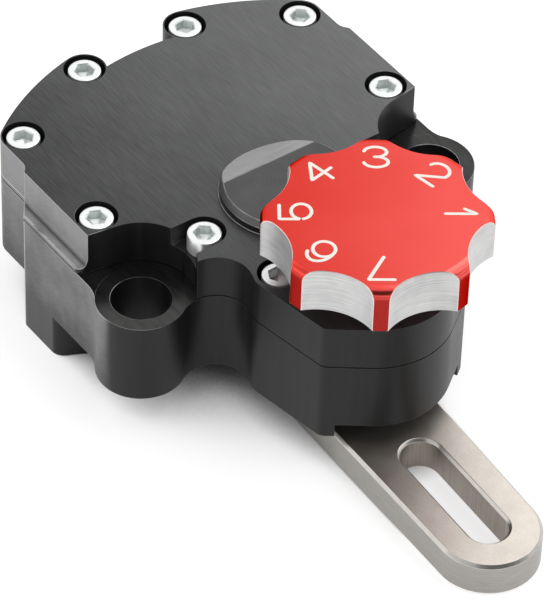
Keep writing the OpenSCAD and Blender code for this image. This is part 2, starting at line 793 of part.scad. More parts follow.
module link_arm() color("#c9c2ba") {
    far = arm_len - slot_back;
    through = arm_t + 2 * cut;
    rotate(arm_rest) translate([0, 0, z_arm_low]) difference() {
        arm_blank();
        for (y = [slot_near, far]) translate([0, -y, -cut]) cylinder(d = slot_w, h = through);
        translate([-slot_w / 2, -far, -cut]) cube([slot_w, far - slot_near, through]);
        translate([0, 0, arm_t - arm_chamfer]) slot_mouth(far);
        translate([0, 0, arm_chamfer]) mirror([0, 0, 1]) slot_mouth(far);
        // flatted bore and the pocket for the screw
        intersection() {
            translate([0, 0, -cut]) cylinder(r = end_d / 2 + slip_fit, h = through);
            translate([-end_d, -end_af / 2 - slip_fit, -cut])
                cube([2 * end_d, end_af + 2 * slip_fit, through]);
        }
        translate([0, 0, -cut]) cylinder(r = arm_washer_d / 2 + free_gap, h = arm_pocket_h + cut);
    }
}

module arm_washer() color("#b9bcbe") {
    rotate(arm_rest)
        ring(z_arm_head, z_arm_head + arm_washer_t, arm_screw_d + 2 * slip_fit, arm_washer_d);
}

module arm_screw() color("#9a9da0") {
    head_r = arm_head_d / 2;
    shank_r = arm_screw_d / 2;
    rotate(arm_rest) difference() {
        translate([0, 0, z_arm_head]) rotate_extrude() polygon([[0, -arm_head_h], [head_r, -arm_head_h],
            [head_r, 0], [shank_r, 0], [shank_r, arm_screw_len], [0, arm_screw_len]]);
        translate([0, 0, z_arm_head - arm_head_h - cut])
            cylinder(d = arm_hex_af / cos(30), h = arm_hex_h + cut, $fn = 6);
    }
}

// Fixed valve body that carries the knob
module valve_body() color("#242527") translate([knob_c[0], knob_c[1], 0]) {
    difference() {
        union() {
            translate([0, 0, z_top]) cylinder(d = flange_d, h = flange_top - z_top);
            translate([0, 0, z_valve]) cylinder(d = shank_d, h = z_top - z_valve + eps);
        }
        translate([0, 0, z_shoulder]) cylinder(r = stem_d / 2 + run_fit, h = knob_lift + cover_h);
        translate([0, 0, z_valve - cut]) cylinder(r = collar_d / 2 + run_fit, h = cover_h);
        translate([0, 0, z_valve_ring]) ring_groove(shank_d);
        // pocket of the detent ball and its spring
        rotate(knob_rest) translate([0, detent_r, flange_top - detent_h])
            cylinder(r = ball_d / 2 + slip_fit, h = detent_h + cut);
    }
}

module valve_body_seal() color("#161616") {
    translate([knob_c[0], knob_c[1], z_valve_ring]) o_ring(shank_d);
}

// Ring at the foot of the valve pocket that the needle closes
module valve_seat() color("#b08d57") translate([knob_c[0], knob_c[1], 0]) {
    difference() {
        translate([0, 0, z_pocket]) cylinder(d = valve_pocket_d, h = seat_h);
        translate([0, 0, z_pocket - cut]) cylinder(d = orifice_d, h = seat_h + 2 * cut);
        translate([0, 0, z_seat_face]) cylinder(r = valve_pocket_d / 2 - seat_wall, h = seat_h);
    }
}

// Needle with its guided collar and the neck that the stem's thread moves
module metering_needle() color("#c4c6c8") translate([knob_c[0], knob_c[1], 0]) {
    collar_r = collar_d / 2;
    neck_r = neck_d / 2;
    collar_top = collar_z + collar_h;
    rotate_extrude() polygon([[0, needle_z], [needle_r / 2, needle_z], [needle_r, needle_z + cone_h],
        [needle_r, collar_z - (collar_r - needle_r) / 2], [collar_r, collar_z], [collar_r, collar_top],
        [neck_r, collar_top], [neck_r, collar_top + neck_h], [0, collar_top + neck_h]]);
}

// Stem that turns with the knob and drives the needle's thread
module valve_stem() color("#b4b7ba") translate([knob_c[0], knob_c[1], 0]) {
    difference() {
        translate([0, 0, stem_low]) cylinder(d = stem_d, h = stem_top - stem_low);
        translate([0, 0, stem_low - cut]) cylinder(r = neck_d / 2 + run_fit, h = neck_h + travel + cut);
        rotate(knob_rest + grub_turn) translate([-stem_d, stem_d / 2 - stem_flat, z_knob + grub_d / 3])
            cube([2 * stem_d, stem_flat + cut, knob_h]);
    }
}

// Knob with a rounded shoulder, milled flutes and a detent track underneath
module knob() color("#d8332f") translate([knob_c[0], knob_c[1], 0]) {
    r = knob_d / 2;
    s = knob_round_r;
    rotate(knob_rest) difference() {
        union() {
            translate([0, 0, z_knob]) cylinder(r = r, h = knob_h - s);
            translate([0, 0, z_knob_top - s - eps]) cylinder(r = r - s, h = s + eps);
            translate([0, 0, z_knob_top - s]) rotate_extrude() translate([r - s, 0]) intersection() {
                circle(r = s);
                square([s, s]);
            }
        }
        for (i = [0:flutes - 1]) rotate(360 * (i + 0.5) / flutes)
            translate([0, waist_r + flute_r, z_knob - cut]) cylinder(r = flute_r, h = knob_h + 2 * cut);
        translate([0, 0, z_knob - cut])
            cylinder(r = stem_d / 2 + hair, h = stem_top + face_gap - z_knob + cut);
        // detent track with a dimple for each setting
        translate([0, 0, z_knob - cut]) rotate_extrude()
            translate([detent_r - track_w / 2, 0]) square([track_w, cut + track_h]);
        for (i = [0:flutes - 1]) rotate(360 * i / flutes) translate([0, detent_r, z_knob - cut])
            cylinder(d = track_w - dimple_h, h = cut + track_h + dimple_h);
        // tapped hole of the grub screw, through a flute on the far side
        rotate(grub_turn) translate([0, 0, z_knob + grub_z]) rotate([-90, 0, 0])
            cylinder(r = grub_d / 2 + hair, h = r);
    }
}

module knob_grub_screw() color("#5a5c5e") translate([knob_c[0], knob_c[1], 0]) {
    tip_y = stem_d / 2 - stem_flat + hair;
    rotate(knob_rest + grub_turn) translate([0, tip_y, z_knob + grub_z]) rotate([-90, 0, 0]) difference() {
        cylinder(d = grub_d, h = grub_len);
        translate([0, 0, grub_len - grub_hex_h])
            cylinder(d = grub_d / 2 / cos(30), h = grub_hex_h + cut, $fn = 6);
    }
}

// Detent ball in the valve body's pocket, pressed up by its spring
module detent_ball() color("#c8cacc") translate([knob_c[0], knob_c[1], 0]) {
    rotate(knob_rest) translate([0, detent_r, ball_z]) sphere(d = ball_d, $fn = 48);
}

// Middle of the spring's wire, and the least gap between turns of it measured on those points
function spring_pt(i) =
    let (a = 360 * i / spring_steps)
    [spring_r * cos(a), spring_r * sin(a), spring_low + (spring_high - spring_low) * i / spring_n];
spring_gap = min([for (i = [0:spring_n - spring_steps], k = [spring_steps / 2:spring_n - i])
    norm(spring_pt(i + k) - spring_pt(i))]) - wire_d;
echo(str("least gap between the spring's coils: ", spring_gap, " mm"));

// Coil spring under the ball, one unbroken wire
module detent_spring() color("#b6b8ba") translate([knob_c[0], knob_c[1], 0]) {
    sides = 6;
    w = wire_d / 2;
    pts = [for (i = [0:spring_n], k = [0:sides - 1])
        let (a = 360 * i / spring_steps, c = spring_pt(i), b = 360 * k / sides)
        [c[0] + w * cos(b) * cos(a), c[1] + w * cos(b) * sin(a), c[2] + w * sin(b)]];
    walls = [for (i = [0:spring_n - 1], k = [0:sides - 1], h = [0, 1])
        let (k2 = (k + 1) % sides, a = i * sides + k, b = i * sides + k2,
            c = (i + 1) * sides + k2, d = (i + 1) * sides + k)
        h == 0 ? [a, b, c] : [a, c, d]];
    low = [for (k = [1:sides - 2]) [0, k + 1, k]];
    high = [for (k = [1:sides - 2]) [spring_n * sides, spring_n * sides + k, spring_n * sides + k + 1]];
    rotate(knob_rest) translate([0, detent_r, 0]) polyhedron(pts, concat(walls, low, high));
}

housing();
top_cover();
cover_gasket();
centre_cap();
cap_seal();
cover_screw_1();
cover_screw_2();
cover_screw_3();
cover_screw_4();
cover_screw_5();
cover_screw_6();
cover_screw_7();
cover_screw_8();
cover_screw_9();
cover_screw_10();
upper_bush();
lower_bush();
shaft_seal();
vane_shaft();
vane_tip_seal();
link_arm();
arm_washer();
arm_screw();
valve_body();
valve_body_seal();
valve_seat();
metering_needle();
valve_stem();
knob();
knob_grub_screw();
detent_ball();
detent_spring();
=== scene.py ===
import math
import bmesh
import bpy
from mathutils import Matrix, Vector


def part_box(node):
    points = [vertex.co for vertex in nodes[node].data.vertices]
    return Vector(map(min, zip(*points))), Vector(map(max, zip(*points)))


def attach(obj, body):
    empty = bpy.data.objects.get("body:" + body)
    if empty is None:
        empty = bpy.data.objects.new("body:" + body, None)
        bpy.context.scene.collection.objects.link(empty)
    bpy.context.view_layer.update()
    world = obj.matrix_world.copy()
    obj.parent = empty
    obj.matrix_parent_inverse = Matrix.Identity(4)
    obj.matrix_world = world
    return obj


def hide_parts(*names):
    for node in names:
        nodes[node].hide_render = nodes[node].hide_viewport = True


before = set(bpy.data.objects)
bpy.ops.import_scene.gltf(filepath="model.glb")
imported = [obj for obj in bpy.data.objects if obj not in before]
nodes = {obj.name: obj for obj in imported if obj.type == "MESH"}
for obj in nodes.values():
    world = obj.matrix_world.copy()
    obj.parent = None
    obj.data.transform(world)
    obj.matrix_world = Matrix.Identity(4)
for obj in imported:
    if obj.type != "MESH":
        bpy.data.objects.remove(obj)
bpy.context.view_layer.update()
mm = 0.001
knobY = -28.9     # mm
knobAxis = Vector((0, knobY * mm, 0))
print("model loaded:", len(nodes), "pieces")


# shader maths as plain expressions: a Wire is a socket, a Net makes and links nodes, a Look is one finish
class Wire:
    def __init__(self, net, socket):
        self.net, self.socket = net, socket

    def output(self, name):
        return Wire(self.net, self.socket.node.outputs[name])

    def __add__(self, other): return self.net.calc("ADD", self, other)
    def __radd__(self, other): return self.net.calc("ADD", other, self)
    def __sub__(self, other): return self.net.calc("SUBTRACT", self, other)
    def __rsub__(self, other): return self.net.calc("SUBTRACT", other, self)
    def __mul__(self, other): return self.net.calc("MULTIPLY", self, other)
    def __rmul__(self, other): return self.net.calc("MULTIPLY", other, self)


class Net:
    def __init__(self, owner):
        owner.use_nodes = True
        self.tree = owner.node_tree

    def plug(self, socket, value):
        if isinstance(value, Wire):
            self.tree.links.new(value.socket, socket)
        else:
            socket.default_value = value

    def add(self, kind, settings=None, inputs=None, output=0):
        node = self.tree.nodes.new(kind)
        for key, value in (settings or {}).items():
            setattr(node, key, value)
        pairs = inputs.items() if isinstance(inputs, dict) else enumerate(inputs or [])
        for key, value in pairs:
            self.plug(node.inputs[key], value)
        return Wire(self, node.outputs[output])

    def calc(self, operation, first, second=0.0):
        return self.add("ShaderNodeMath", {"operation": operation}, [first, second])

    def vector(self, operation, inputs, output="Vector"):
        return self.add("ShaderNodeVectorMath", {"operation": operation}, inputs, output)

    def place(self, kind="Object"):
        return self.add("ShaderNodeTexCoord", output=kind)

    def parts(self, vector):
        return self.add("ShaderNodeSeparateXYZ", None, [vector])

    def ramp(self, value, low, high, kind="SMOOTHSTEP"):
        return self.add("ShaderNodeMapRange", {"interpolation_type": kind},
                        {"Value": value, "From Min": low, "From Max": high})


class Look(Net):
    def __init__(self, name, shader):
        self.material = bpy.data.materials.new(name)
        super().__init__(self.material)
        self.shader = self.tree.nodes["Principled BSDF"]
        for socket, value in shader.items():
            self.feed(socket, value)

    def feed(self, socket, value):
        self.plug(self.shader.inputs[socket], value)

    def noise(self, vector, scale, detail):
        return self.add("ShaderNodeTexNoise", None,
                        {"Vector": vector, "Scale": scale, "Detail": detail, "Roughness": 0.6})

    def grain(self, spot, stretch, detail=4.0):
        return self.noise(self.vector("MULTIPLY", [spot, stretch]), 1.0, detail)

    def mix(self, factor, first, second):
        return self.add("ShaderNodeMix", {"data_type": "RGBA", "clamp_factor": True},
                        {0: factor, 6: first, 7: second}, 2)

    def bump(self, height, depth):
        self.feed("Normal", self.add("ShaderNodeBump", None, {"Strength": 1.0, "Distance": depth * mm,
                                                              "Height": height}))

    # roughness and bump that follow the grain
    def relief(self, fine, cloud, values):
        low, high = values["rough"]
        self.feed("Roughness", (fine + cloud) * (high - low) * 0.5 + low)
        self.bump(fine, values["depth"])


# a Geometry Nodes tree with named inputs for sizes
class Plan:
    def __init__(self, name, inputs):
        self.tree = bpy.data.node_groups.new(name, "GeometryNodeTree")
        self.sockets, self.made = {}, {}
        for label, (kind, default) in inputs.items():
            socket = self.tree.interface.new_socket(label, in_out="INPUT", socket_type=kind)
            if default is not None:
                socket.default_value = default
            self.sockets[label] = socket.identifier
        self.tree.interface.new_socket("Geometry", in_out="OUTPUT", socket_type="NodeSocketGeometry")
        self.step("given", "NodeGroupInput")

    def step(self, key, kind, settings=None, links=None):
        node = self.made[key] = self.tree.nodes.new(kind)
        for name, value in (settings or {}).items():
            setattr(node, name, value)
        for name, value in (links or {}).items():
            if isinstance(value, tuple) and value[0] in self.made:
                self.tree.links.new(self.made[value[0]].outputs[value[1]], node.inputs[name])
            else:
                node.inputs[name].default_value = value

    def run(self, piece, values):
        modifier = piece.modifiers.new("setting", "NODES")
        modifier.node_group = self.tree
        for label, value in values.items():
            modifier[self.sockets[label]] = value
        return settled(piece)


def rgb(r, g=None, b=None):
    return (r, r if g is None else g, r if b is None else b, 1.0)


# a share that wanders about one half, from a fine and a soft pattern
def patchy(fine, cloud, contrast, clouding):
    return (fine - 0.5) * contrast + (cloud - 0.5) * clouding + 0.5


# a finish whose grain runs one way, with soft clouds over it
def grained(name, values):
    look = Look(name, {"Metallic": values["metallic"], "Specular IOR Level": values.get("specular", 0.5)})
    spot = look.place()
    fine = look.grain(spot, values["grain"])
    cloud = look.noise(spot, values.get("cloudScale", 90.0), 2.0)
    shade = patchy(fine, cloud, values["contrast"], values.get("clouding", 0.6))
    if "paintedLightFade" in values:            # painted gradient of reflected light across the piece, a share for each metre along X and Y
        shade = look.vector("DOT_PRODUCT", [spot, values["paintedLightFade"]], "Value") + shade
    look.feed("Base Color", look.mix(shade, values["dark"], values["light"]))
    look.relief(fine, cloud, values)
    return look.material


# a finish turned on a lathe, with rings about an upright axis
def turned(name, values, axis=(0, 0, 0)):
    look = Look(name, {"Metallic": values["metallic"]})
    spot = look.vector("SUBTRACT", [look.place(), axis])
    radius = look.vector("LENGTH", [look.vector("MULTIPLY", [spot, (1, 1, 0)])], "Value")
    rings = look.noise(look.add("ShaderNodeCombineXYZ", None, [radius * values["rings"], 0.0, 0.0]), 1.0, 4.0)
    cloud = look.noise(spot, 140.0, 2.0)
    look.feed("Base Color", look.mix(patchy(rings, cloud, values["contrast"], 0.8), values["dark"], values["light"]))
    look.relief(rings, cloud, values)
    return look.material


anodised = {
    # the cover top's gradient along X and Y is painted reflected light, lighter towards +X
    "coverTop": {"dark": rgb(0.020, 0.0205, 0.021), "light": rgb(0.184, 0.1855, 0.189), "grain": (4600, 190, 400),
                 "contrast": 0.6, "clouding": 0.25, "cloudScale": 45.0, "paintedLightFade": (8.1, 0.3, 0), "rough": (0.28, 0.46),
                 "depth": 0.010, "metallic": 0.65, "specular": 0.4},
    "milled": {"dark": rgb(0.030), "light": rgb(0.085, 0.084, 0.082), "grain": (700, 120, 400),
               "contrast": 1.4, "clouding": 0.8, "rough": (0.18, 0.3), "depth": 0.004,
               "metallic": 0.85, "specular": 0.2},
    # in the body's finish, the flank colours are painted light on the sides facing the flanks, rise paints shade
    # darker towards the bottom, and the lines along the edges are painted highlights
    "body": {"sideDark": rgb(0.004), "sideLight": rgb(0.015, 0.015, 0.0155), "sideGrain": (420, 420, 18),
             "sideContrast": (1.8, 0.6), "sideRelief": 0.4, "flankDark": rgb(0.098, 0.098, 0.1),
             "flankLight": rgb(0.31, 0.31, 0.315), "flankTilt": 17, "flankGrain": (1500, 380, 5600),
             "flankContrast": (0.85, 1.1), "flankShade": -0.47, "rise": 34, "flankRelief": 0.6, "flankMetal": 0.7,
             "flankTurn": (0.80, 1.0), "backTurn": 0.6, "flankX": (0.0360, 0.0385), "flankSlope": (0.45, 0.8),
             "edgeGlintLines": ((19.0, 0.22), (20.15, 0.25), (29.35, 0.2)), "edgeGlintPatches": (0.7, 1.05),
             "wearAndGlint": rgb(0.5, 0.5, 0.51), "rough": 0.26, "roughGrain": 0.12, "roughFlank": 0.14, "depth": 0.010,
             "specular": 0.28},
    "edge": {"dark": rgb(0.014), "light": rgb(0.07, 0.07, 0.072), "flankDark": rgb(0.30),
             "flankLight": rgb(0.52, 0.52, 0.53), "flankX": (0.0360, 0.0385), "wearScale": 260.0, "contrast": 1.6,
             "rough": 0.26, "roughWear": 0.2, "depth": 0.002, "metallic": 0.3, "specular": 0.4}}


# painted light mask: one where a side of the body faces a flank or slopes up beside it, zero on its front and its
# inside
def litFlankMask(look, where, facing, values):
    away = where.output("X")
    outward = look.calc("SIGN", away) * facing.output("X") + facing.output("Y") * values["backTurn"]
    sloping = look.ramp(facing.output("Z"), *values["flankSlope"])
    faces = look.calc("MAXIMUM", look.ramp(outward, *values["flankTurn"]), sloping)
    return faces * look.ramp(look.calc("ABSOLUTE", away), *values["flankX"])


# the body's sides: dark with upright streaks, and a lighter grey, painted light, where they face the flanks
def bodySides(values):
    look = Look("bodyAnodised", {"Specular IOR Level": values["specular"]})
    spot = look.place()
    where, facing = look.parts(spot), look.parts(look.place("Normal"))
    litFlank = litFlankMask(look, where, facing, values)
    streak = look.grain(spot, values["sideGrain"])
    cloud = look.noise(spot, 90.0, 2.0)
    tilted = look.add("ShaderNodeVectorRotate", {"rotation_type": "X_AXIS"},
                      {"Vector": spot, "Angle": math.radians(values["flankTilt"])})
    brushed = look.grain(tilted, values["flankGrain"])
    side = look.mix(patchy(streak, cloud, *values["sideContrast"]), values["sideDark"], values["sideLight"])
    height = where.output("Z")
    # painted shade: the flanks darker towards the bottom
    shade = patchy(brushed, cloud, *values["flankContrast"]) + height * values["rise"] + values["flankShade"]
    # painted light: the lighter grey, metallic and brushed, for the sides facing the flanks
    litFlankColour = look.mix(shade, values["flankDark"], values["flankLight"])
    # painted highlight: bright lines along the flanks' edges at these heights, broken into patches
    worn = 0.0
    for line, reach in values["edgeGlintLines"]:
        off = look.calc("ABSOLUTE", height - line * mm)
        worn = 1 - look.ramp(off, reach * 0.3 * mm, reach * mm) + worn
    worn = worn * litFlank * look.ramp(cloud + brushed, *values["edgeGlintPatches"])
    look.feed("Base Color", look.mix(litFlank, side, look.mix(worn, litFlankColour, values["wearAndGlint"])))
    look.feed("Metallic", litFlank * values["flankMetal"])
    look.feed("Roughness", (streak + cloud) * values["roughGrain"] + litFlank * values["roughFlank"] + values["rough"])
    look.bump(streak * (1 - litFlank) * values["sideRelief"] + brushed * litFlank * values["flankRelief"], values["depth"])
    return look.material


# painted highlight along the edges, in rubbed-looking patches, brightest along the flanks where the sides are painted
# lit
def bodyEdges(values):
    look = Look("edgePaintedHighlight", {"Metallic": values["metallic"], "Specular IOR Level": values["specular"]})
    spot = look.place()
    litFlank = look.ramp(look.calc("ABSOLUTE", look.parts(spot).output("X")), *values["flankX"])
    wearAndGlint = look.noise(spot, values["wearScale"], 4.0)
    shade = (wearAndGlint - 0.5) * values["contrast"] + 0.5
    look.feed("Base Color", look.mix(litFlank, look.mix(shade, values["dark"], values["light"]),
                                     look.mix(shade, values["flankDark"], values["flankLight"])))
    look.feed("Roughness", wearAndGlint * values["roughWear"] + values["rough"])
    look.bump(wearAndGlint, values["depth"])
    return look.material


# red anodised metal, with painted shade darkening its sides and shoulder below its top, and a painted gradient of
# light across its top
def knobRed(values):
    look = Look("redAnodised", {"Metallic": 1.0, "Specular IOR Level": values["specular"],
                                "Specular Tint": values["grazing"]})
    spot = look.place()
    fine = look.grain(spot, values["grain"], 3.0)
    cloud = look.noise(spot, 40.0, 2.0)
    shade = patchy(fine, cloud, values["contrast"], values["clouding"])
    # painted gradient of light across the top, lighter towards +X and −Y
    fromAxis = look.vector("SUBTRACT", [spot, tuple(knobAxis)])
    across = look.vector("DOT_PRODUCT", [fromAxis, values["paintedLightFade"]], "Value")
    top = look.mix(across + shade, values["topDark"], values["topLight"])
    side = look.mix(shade, values["sideDark"], values["sideLight"])
    # painted shade: below the tilt range the sides and shoulder take the darker colours, above it the top takes the
    # brighter ones
    shadeByTilt = look.ramp(look.parts(look.place("Normal")).output("Z"), *values["shadeByTilt"])
    look.feed("Base Color", look.mix(shadeByTilt, side, top))
    look.relief(fine, cloud, values)
    return look.material


coverTopLook = grained("coverTopBrushed", anodised["coverTop"])
sideLook = bodySides(anodised["body"])
milledLook = grained("milledDarkAnodised", anodised["milled"])
edgeLook = bodyEdges(anodised["edge"])
capLook = turned("capTurned", {"dark": rgb(0.052), "light": rgb(0.110), "rings": 5200, "contrast": 1.6,
                               "rough": (0.26, 0.42), "depth": 0.005, "metallic": 0.6})
# painted highlight along the cap's bevelled rim
capEdgeLook = grained("capEdgePaintedHighlight", {
    "dark": rgb(0.09), "light": rgb(0.34), "grain": (300, 300, 300), "contrast": 1.6, "clouding": 0.8,
    "rough": (0.22, 0.34), "depth": 0.002, "metallic": 0.8})
capFacetLook = grained("capFacetMilled", {
    "dark": rgb(0.20), "light": rgb(0.40), "grain": (90, 5200, 90), "contrast": 1.7, "clouding": 0.6,
    "rough": (0.35, 0.5), "depth": 0.006, "metallic": 0.3})
# the knob's side colours are painted shade under its top, and its gradient across the top is painted light
redLook = knobRed({
    "topDark": rgb(0.74, 0.050, 0.038), "topLight": rgb(0.98, 0.130, 0.112), "paintedLightFade": (20.6, -14.1, 0),
    "sideDark": rgb(0.26, 0.014, 0.012), "sideLight": rgb(0.42, 0.034, 0.030), "grazing": rgb(0.62, 0.30, 0.28),
    "grain": (160, 5200, 300), "contrast": 0.35, "clouding": 0.5, "shadeByTilt": (0.1, 0.5), "rough": (0.13, 0.22),
    "depth": 0.0006, "specular": 0.4})
redEdgeLook = grained("bareWornEdge", {
    "dark": rgb(0.70, 0.49, 0.46), "light": rgb(0.89, 0.75, 0.72), "grain": (300, 300, 300),
    "contrast": 1.4, "clouding": 0.8, "rough": (0.25, 0.4), "depth": 0.002, "metallic": 0.9})
fluteLook = grained("bareFlute", {
    "dark": rgb(0.40, 0.405, 0.41), "light": rgb(0.88, 0.875, 0.865), "grain": (70, 70, 4600),
    "contrast": 1.2, "clouding": 0.8, "cloudScale": 160.0, "rough": (0.26, 0.42), "depth": 0.004, "metallic": 0.5})
armLook = grained("armSatinStainless", {
    "dark": rgb(0.66, 0.60, 0.545), "light": rgb(0.89, 0.82, 0.745), "grain": (3000, 3000, 3000),
    "contrast": 1.1, "clouding": 0.9, "cloudScale": 170.0, "rough": (0.3, 0.46), "depth": 0.006,
    "metallic": 1.0})
armEdgeLook = grained("armMilledChamfer", {
    "dark": rgb(0.42, 0.395, 0.37), "light": rgb(0.68, 0.645, 0.61), "grain": (400, 400, 400),
    "contrast": 1.0, "clouding": 0.4, "rough": (0.22, 0.36), "depth": 0.002, "metallic": 1.0})
# painted shade: the stainless made darker on the arm's outer sides
armShadedSideLook = grained("armSidePaintedShade", {
    "dark": rgb(0.27, 0.258, 0.24), "light": rgb(0.42, 0.405, 0.38), "grain": (300, 300, 3800),
    "contrast": 1.2, "clouding": 0.5, "rough": (0.28, 0.44), "depth": 0.004, "metallic": 1.0})
# painted shade: the stainless made darker and browner on the slot's walls
slotShadedWallLook = grained("armSlotWallPaintedShade", {
    "dark": rgb(0.20, 0.172, 0.148), "light": rgb(0.43, 0.385, 0.345), "grain": (2600, 2600, 60),
    "contrast": 1.3, "clouding": 0.8, "rough": (0.34, 0.5), "depth": 0.006, "metallic": 0.9})
zincLook = turned("screwZinc", {"dark": rgb(0.88, 0.90, 0.89), "light": rgb(0.97, 0.98, 0.975), "rings": 3000,
                                "contrast": 0.9, "rough": (0.24, 0.38), "depth": 0.004, "metallic": 0.75})
# greenish zinc in the sockets, with light and dark patches as painted reflection
socketLook = grained("screwSocket", {
    "dark": rgb(0.54, 0.585, 0.575), "light": rgb(0.97, 0.99, 0.985), "grain": (900, 900, 120),
    "contrast": 1.6, "clouding": 0.6, "rough": (0.3, 0.45), "depth": 0.003, "metallic": 0.8})
digitLook = grained("creamDigitPaint", {
    "dark": rgb(0.84, 0.79, 0.72), "light": rgb(0.93, 0.89, 0.83), "grain": (900, 900, 900),
    "contrast": 0.8, "clouding": 0.5, "rough": (0.4, 0.55), "depth": 0.003, "metallic": 0.0})
groundSteel = {"dark": rgb(0.42, 0.43, 0.44), "light": rgb(0.66, 0.67, 0.68), "rings": 3600, "contrast": 1.0,
               "rough": (0.24, 0.4), "depth": 0.004, "metallic": 1.0}
steelLook = turned("groundSteel", groundSteel)
stemLook = turned("stemSteel", groundSteel, knobAxis)
bronzeLook = turned("sinteredBronze", {"dark": rgb(0.42, 0.27, 0.13), "light": rgb(0.66, 0.47, 0.26),
                                       "rings": 900, "contrast": 1.0, "rough": (0.35, 0.55), "depth": 0.01,
                                       "metallic": 0.9})
blackSteelLook = grained("blackOxide", {
    "dark": rgb(0.018), "light": rgb(0.05), "grain": (900, 900, 900), "contrast": 1.2,
    "rough": (0.35, 0.55), "depth": 0.004, "metallic": 0.6})
rubberLook = grained("blackRubber", {
    "dark": rgb(0.012), "light": rgb(0.03), "grain": (1500, 1500, 1500), "contrast": 1.0,
    "rough": (0.5, 0.7), "depth": 0.006, "metallic": 0.0})
gasketLook = grained("gasketFibre", {
    "dark": rgb(0.002), "light": rgb(0.010), "grain": (2200, 2200, 700), "contrast": 1.6,
    "rough": (0.6, 0.85), "depth": 0.02, "metallic": 0.0, "specular": 0.05})
sealLook = grained("filledPlastic", {
    "dark": rgb(0.66, 0.64, 0.58), "light": rgb(0.86, 0.84, 0.78), "grain": (700, 700, 700), "contrast": 0.8,
    "rough": (0.4, 0.6), "depth": 0.004, "metallic": 0.0})
print("finishes ready")


# a merged copy of a CAD node, to be dressed without touching the original
def mergedCopy(node):
    shape = bmesh.new()
    shape.from_mesh(nodes[node].data)
    bmesh.ops.remove_doubles(shape, verts=shape.verts, dist=0.002 * mm)
    bmesh.ops.dissolve_limit(shape, angle_limit=math.radians(0.25), verts=shape.verts, edges=shape.edges)
    bmesh.ops.recalc_face_normals(shape, faces=shape.faces)
    return shape


def asObject(name, shape, looks):
    mesh = bpy.data.meshes.new(name)
    shape.to_mesh(mesh)
    shape.free()
    for look in looks:
        mesh.materials.append(look)
    piece = bpy.data.objects.new(name, mesh)
    bpy.context.scene.collection.objects.link(piece)
    return piece


# the result of all modifiers as a plain mesh
def settled(piece):
    graph = bpy.context.evaluated_depsgraph_get()
    result = bpy.data.meshes.new_from_object(piece.evaluated_get(graph), preserve_all_data_layers=True,
                                             depsgraph=graph)
    piece.modifiers.clear()
    piece.data = result
    return piece


# a face from corners that may repeat
def addFace(shape, corners):
    return shape.faces.new([v for n, v in enumerate(corners) if v not in corners[:n]])


# keeps flat faces flat beside rounded ones
def flattened(piece):
    piece.modifiers.new("flatFaces", "WEIGHTED_NORMAL").keep_sharp = True
    return settled(piece)


# softened edges: edgeWidth gives each sharp edge its bevel in mm, faceLook the slot of each face; bevels take slot 1
def dressed(name, node, looks, widest, edgeWidth, faceLook, sharpest=24):
    shape = mergedCopy(node)
    weight = shape.edges.layers.float.new("bevel_weight_edge")
    for face in shape.faces:
        face.smooth = True
        face.material_index = faceLook(face.normal, face.calc_center_median() / mm)
    for edge in shape.edges:
        if len(edge.link_faces) == 2 and edge.calc_face_angle(0) > math.radians(sharpest):
            middle = (edge.verts[0].co + edge.verts[1].co) / 2 / mm
            normals = [face.normal for face in edge.link_faces]
            edge[weight] = edgeWidth(middle, normals) / widest if edge.is_convex else 0
            edge.smooth = edge[weight] > 0
    piece = asObject(name, shape, looks)
    bevel = piece.modifiers.new("softEdges", "BEVEL")
    bevel.width = widest * mm
    bevel.segments = 2
    bevel.limit_method = "WEIGHT"
    bevel.use_clamp_overlap = False
    bevel.material = 1
    return flattened(piece)


def seat(piece, body, slotName, *replaced):
    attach(piece, body)
    if replaced:
        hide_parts(*replaced)


def apart(point, x=0, y=0):
    return math.hypot(point.x - x, point.y - y)


# seats of the cover screws and the turn of each socket, degrees
screwSet = {"headD": 7.0, "headH": 4.0, "length": 16.0, "threadD": 4.0, "socketAf": 3.7, "socketH": 2.15,
            "chamfer": 0.35, "heel": 0.15, "tip": 0.4, "mouth": 0.22, "mouthFlare": 1.12, "coneH": 0.8, "sides": 48,
            "right": [(12.665, 54.857), (34.739, 44.305), (36.01, 15.8), (20.8, 0.0), (15.6, -18.2)],
            "turns": [6, 16.5, 37.5, 51, 26, 38, 49, 36, 21.5, 2]}
screwSpots = screwSet["right"] + [(-x, y) for x, y in screwSet["right"]]


def nearScrew(point, reach):
    return any(apart(point, x, y) < reach for x, y in screwSpots)


# housing, with its ledge, ears and belly; reaches in mm from the middle of what they name
housing = {"widest": 0.8, "edge": 0.22, "sideEdge": 0.154, "partingEdge": 0.08, "thinEdge": 0.03,
           "boreEdge": 0.1, "cornerRound": 0.4, "flankX": 42.51, "cornerY": 25, "top": 19.0, "earX": 36,
           "boreReach": 6.5, "earReach": 9.5, "screwReach": 2.3, "valveReach": 6.3, "hubReach": 17.2,
           "chamberReach": 48.2, "chamberX": 41.5, "sealReach": 17, "sealZ": -2, "backY": 30,
           "bay": (-5.1, 4.2), "bayReach": 48.5, "bayY": -6}
near = 0.05     # mm within which a spot lies in a face's plane
flat = 0.95     # a face lies flat where its normal's Z is more


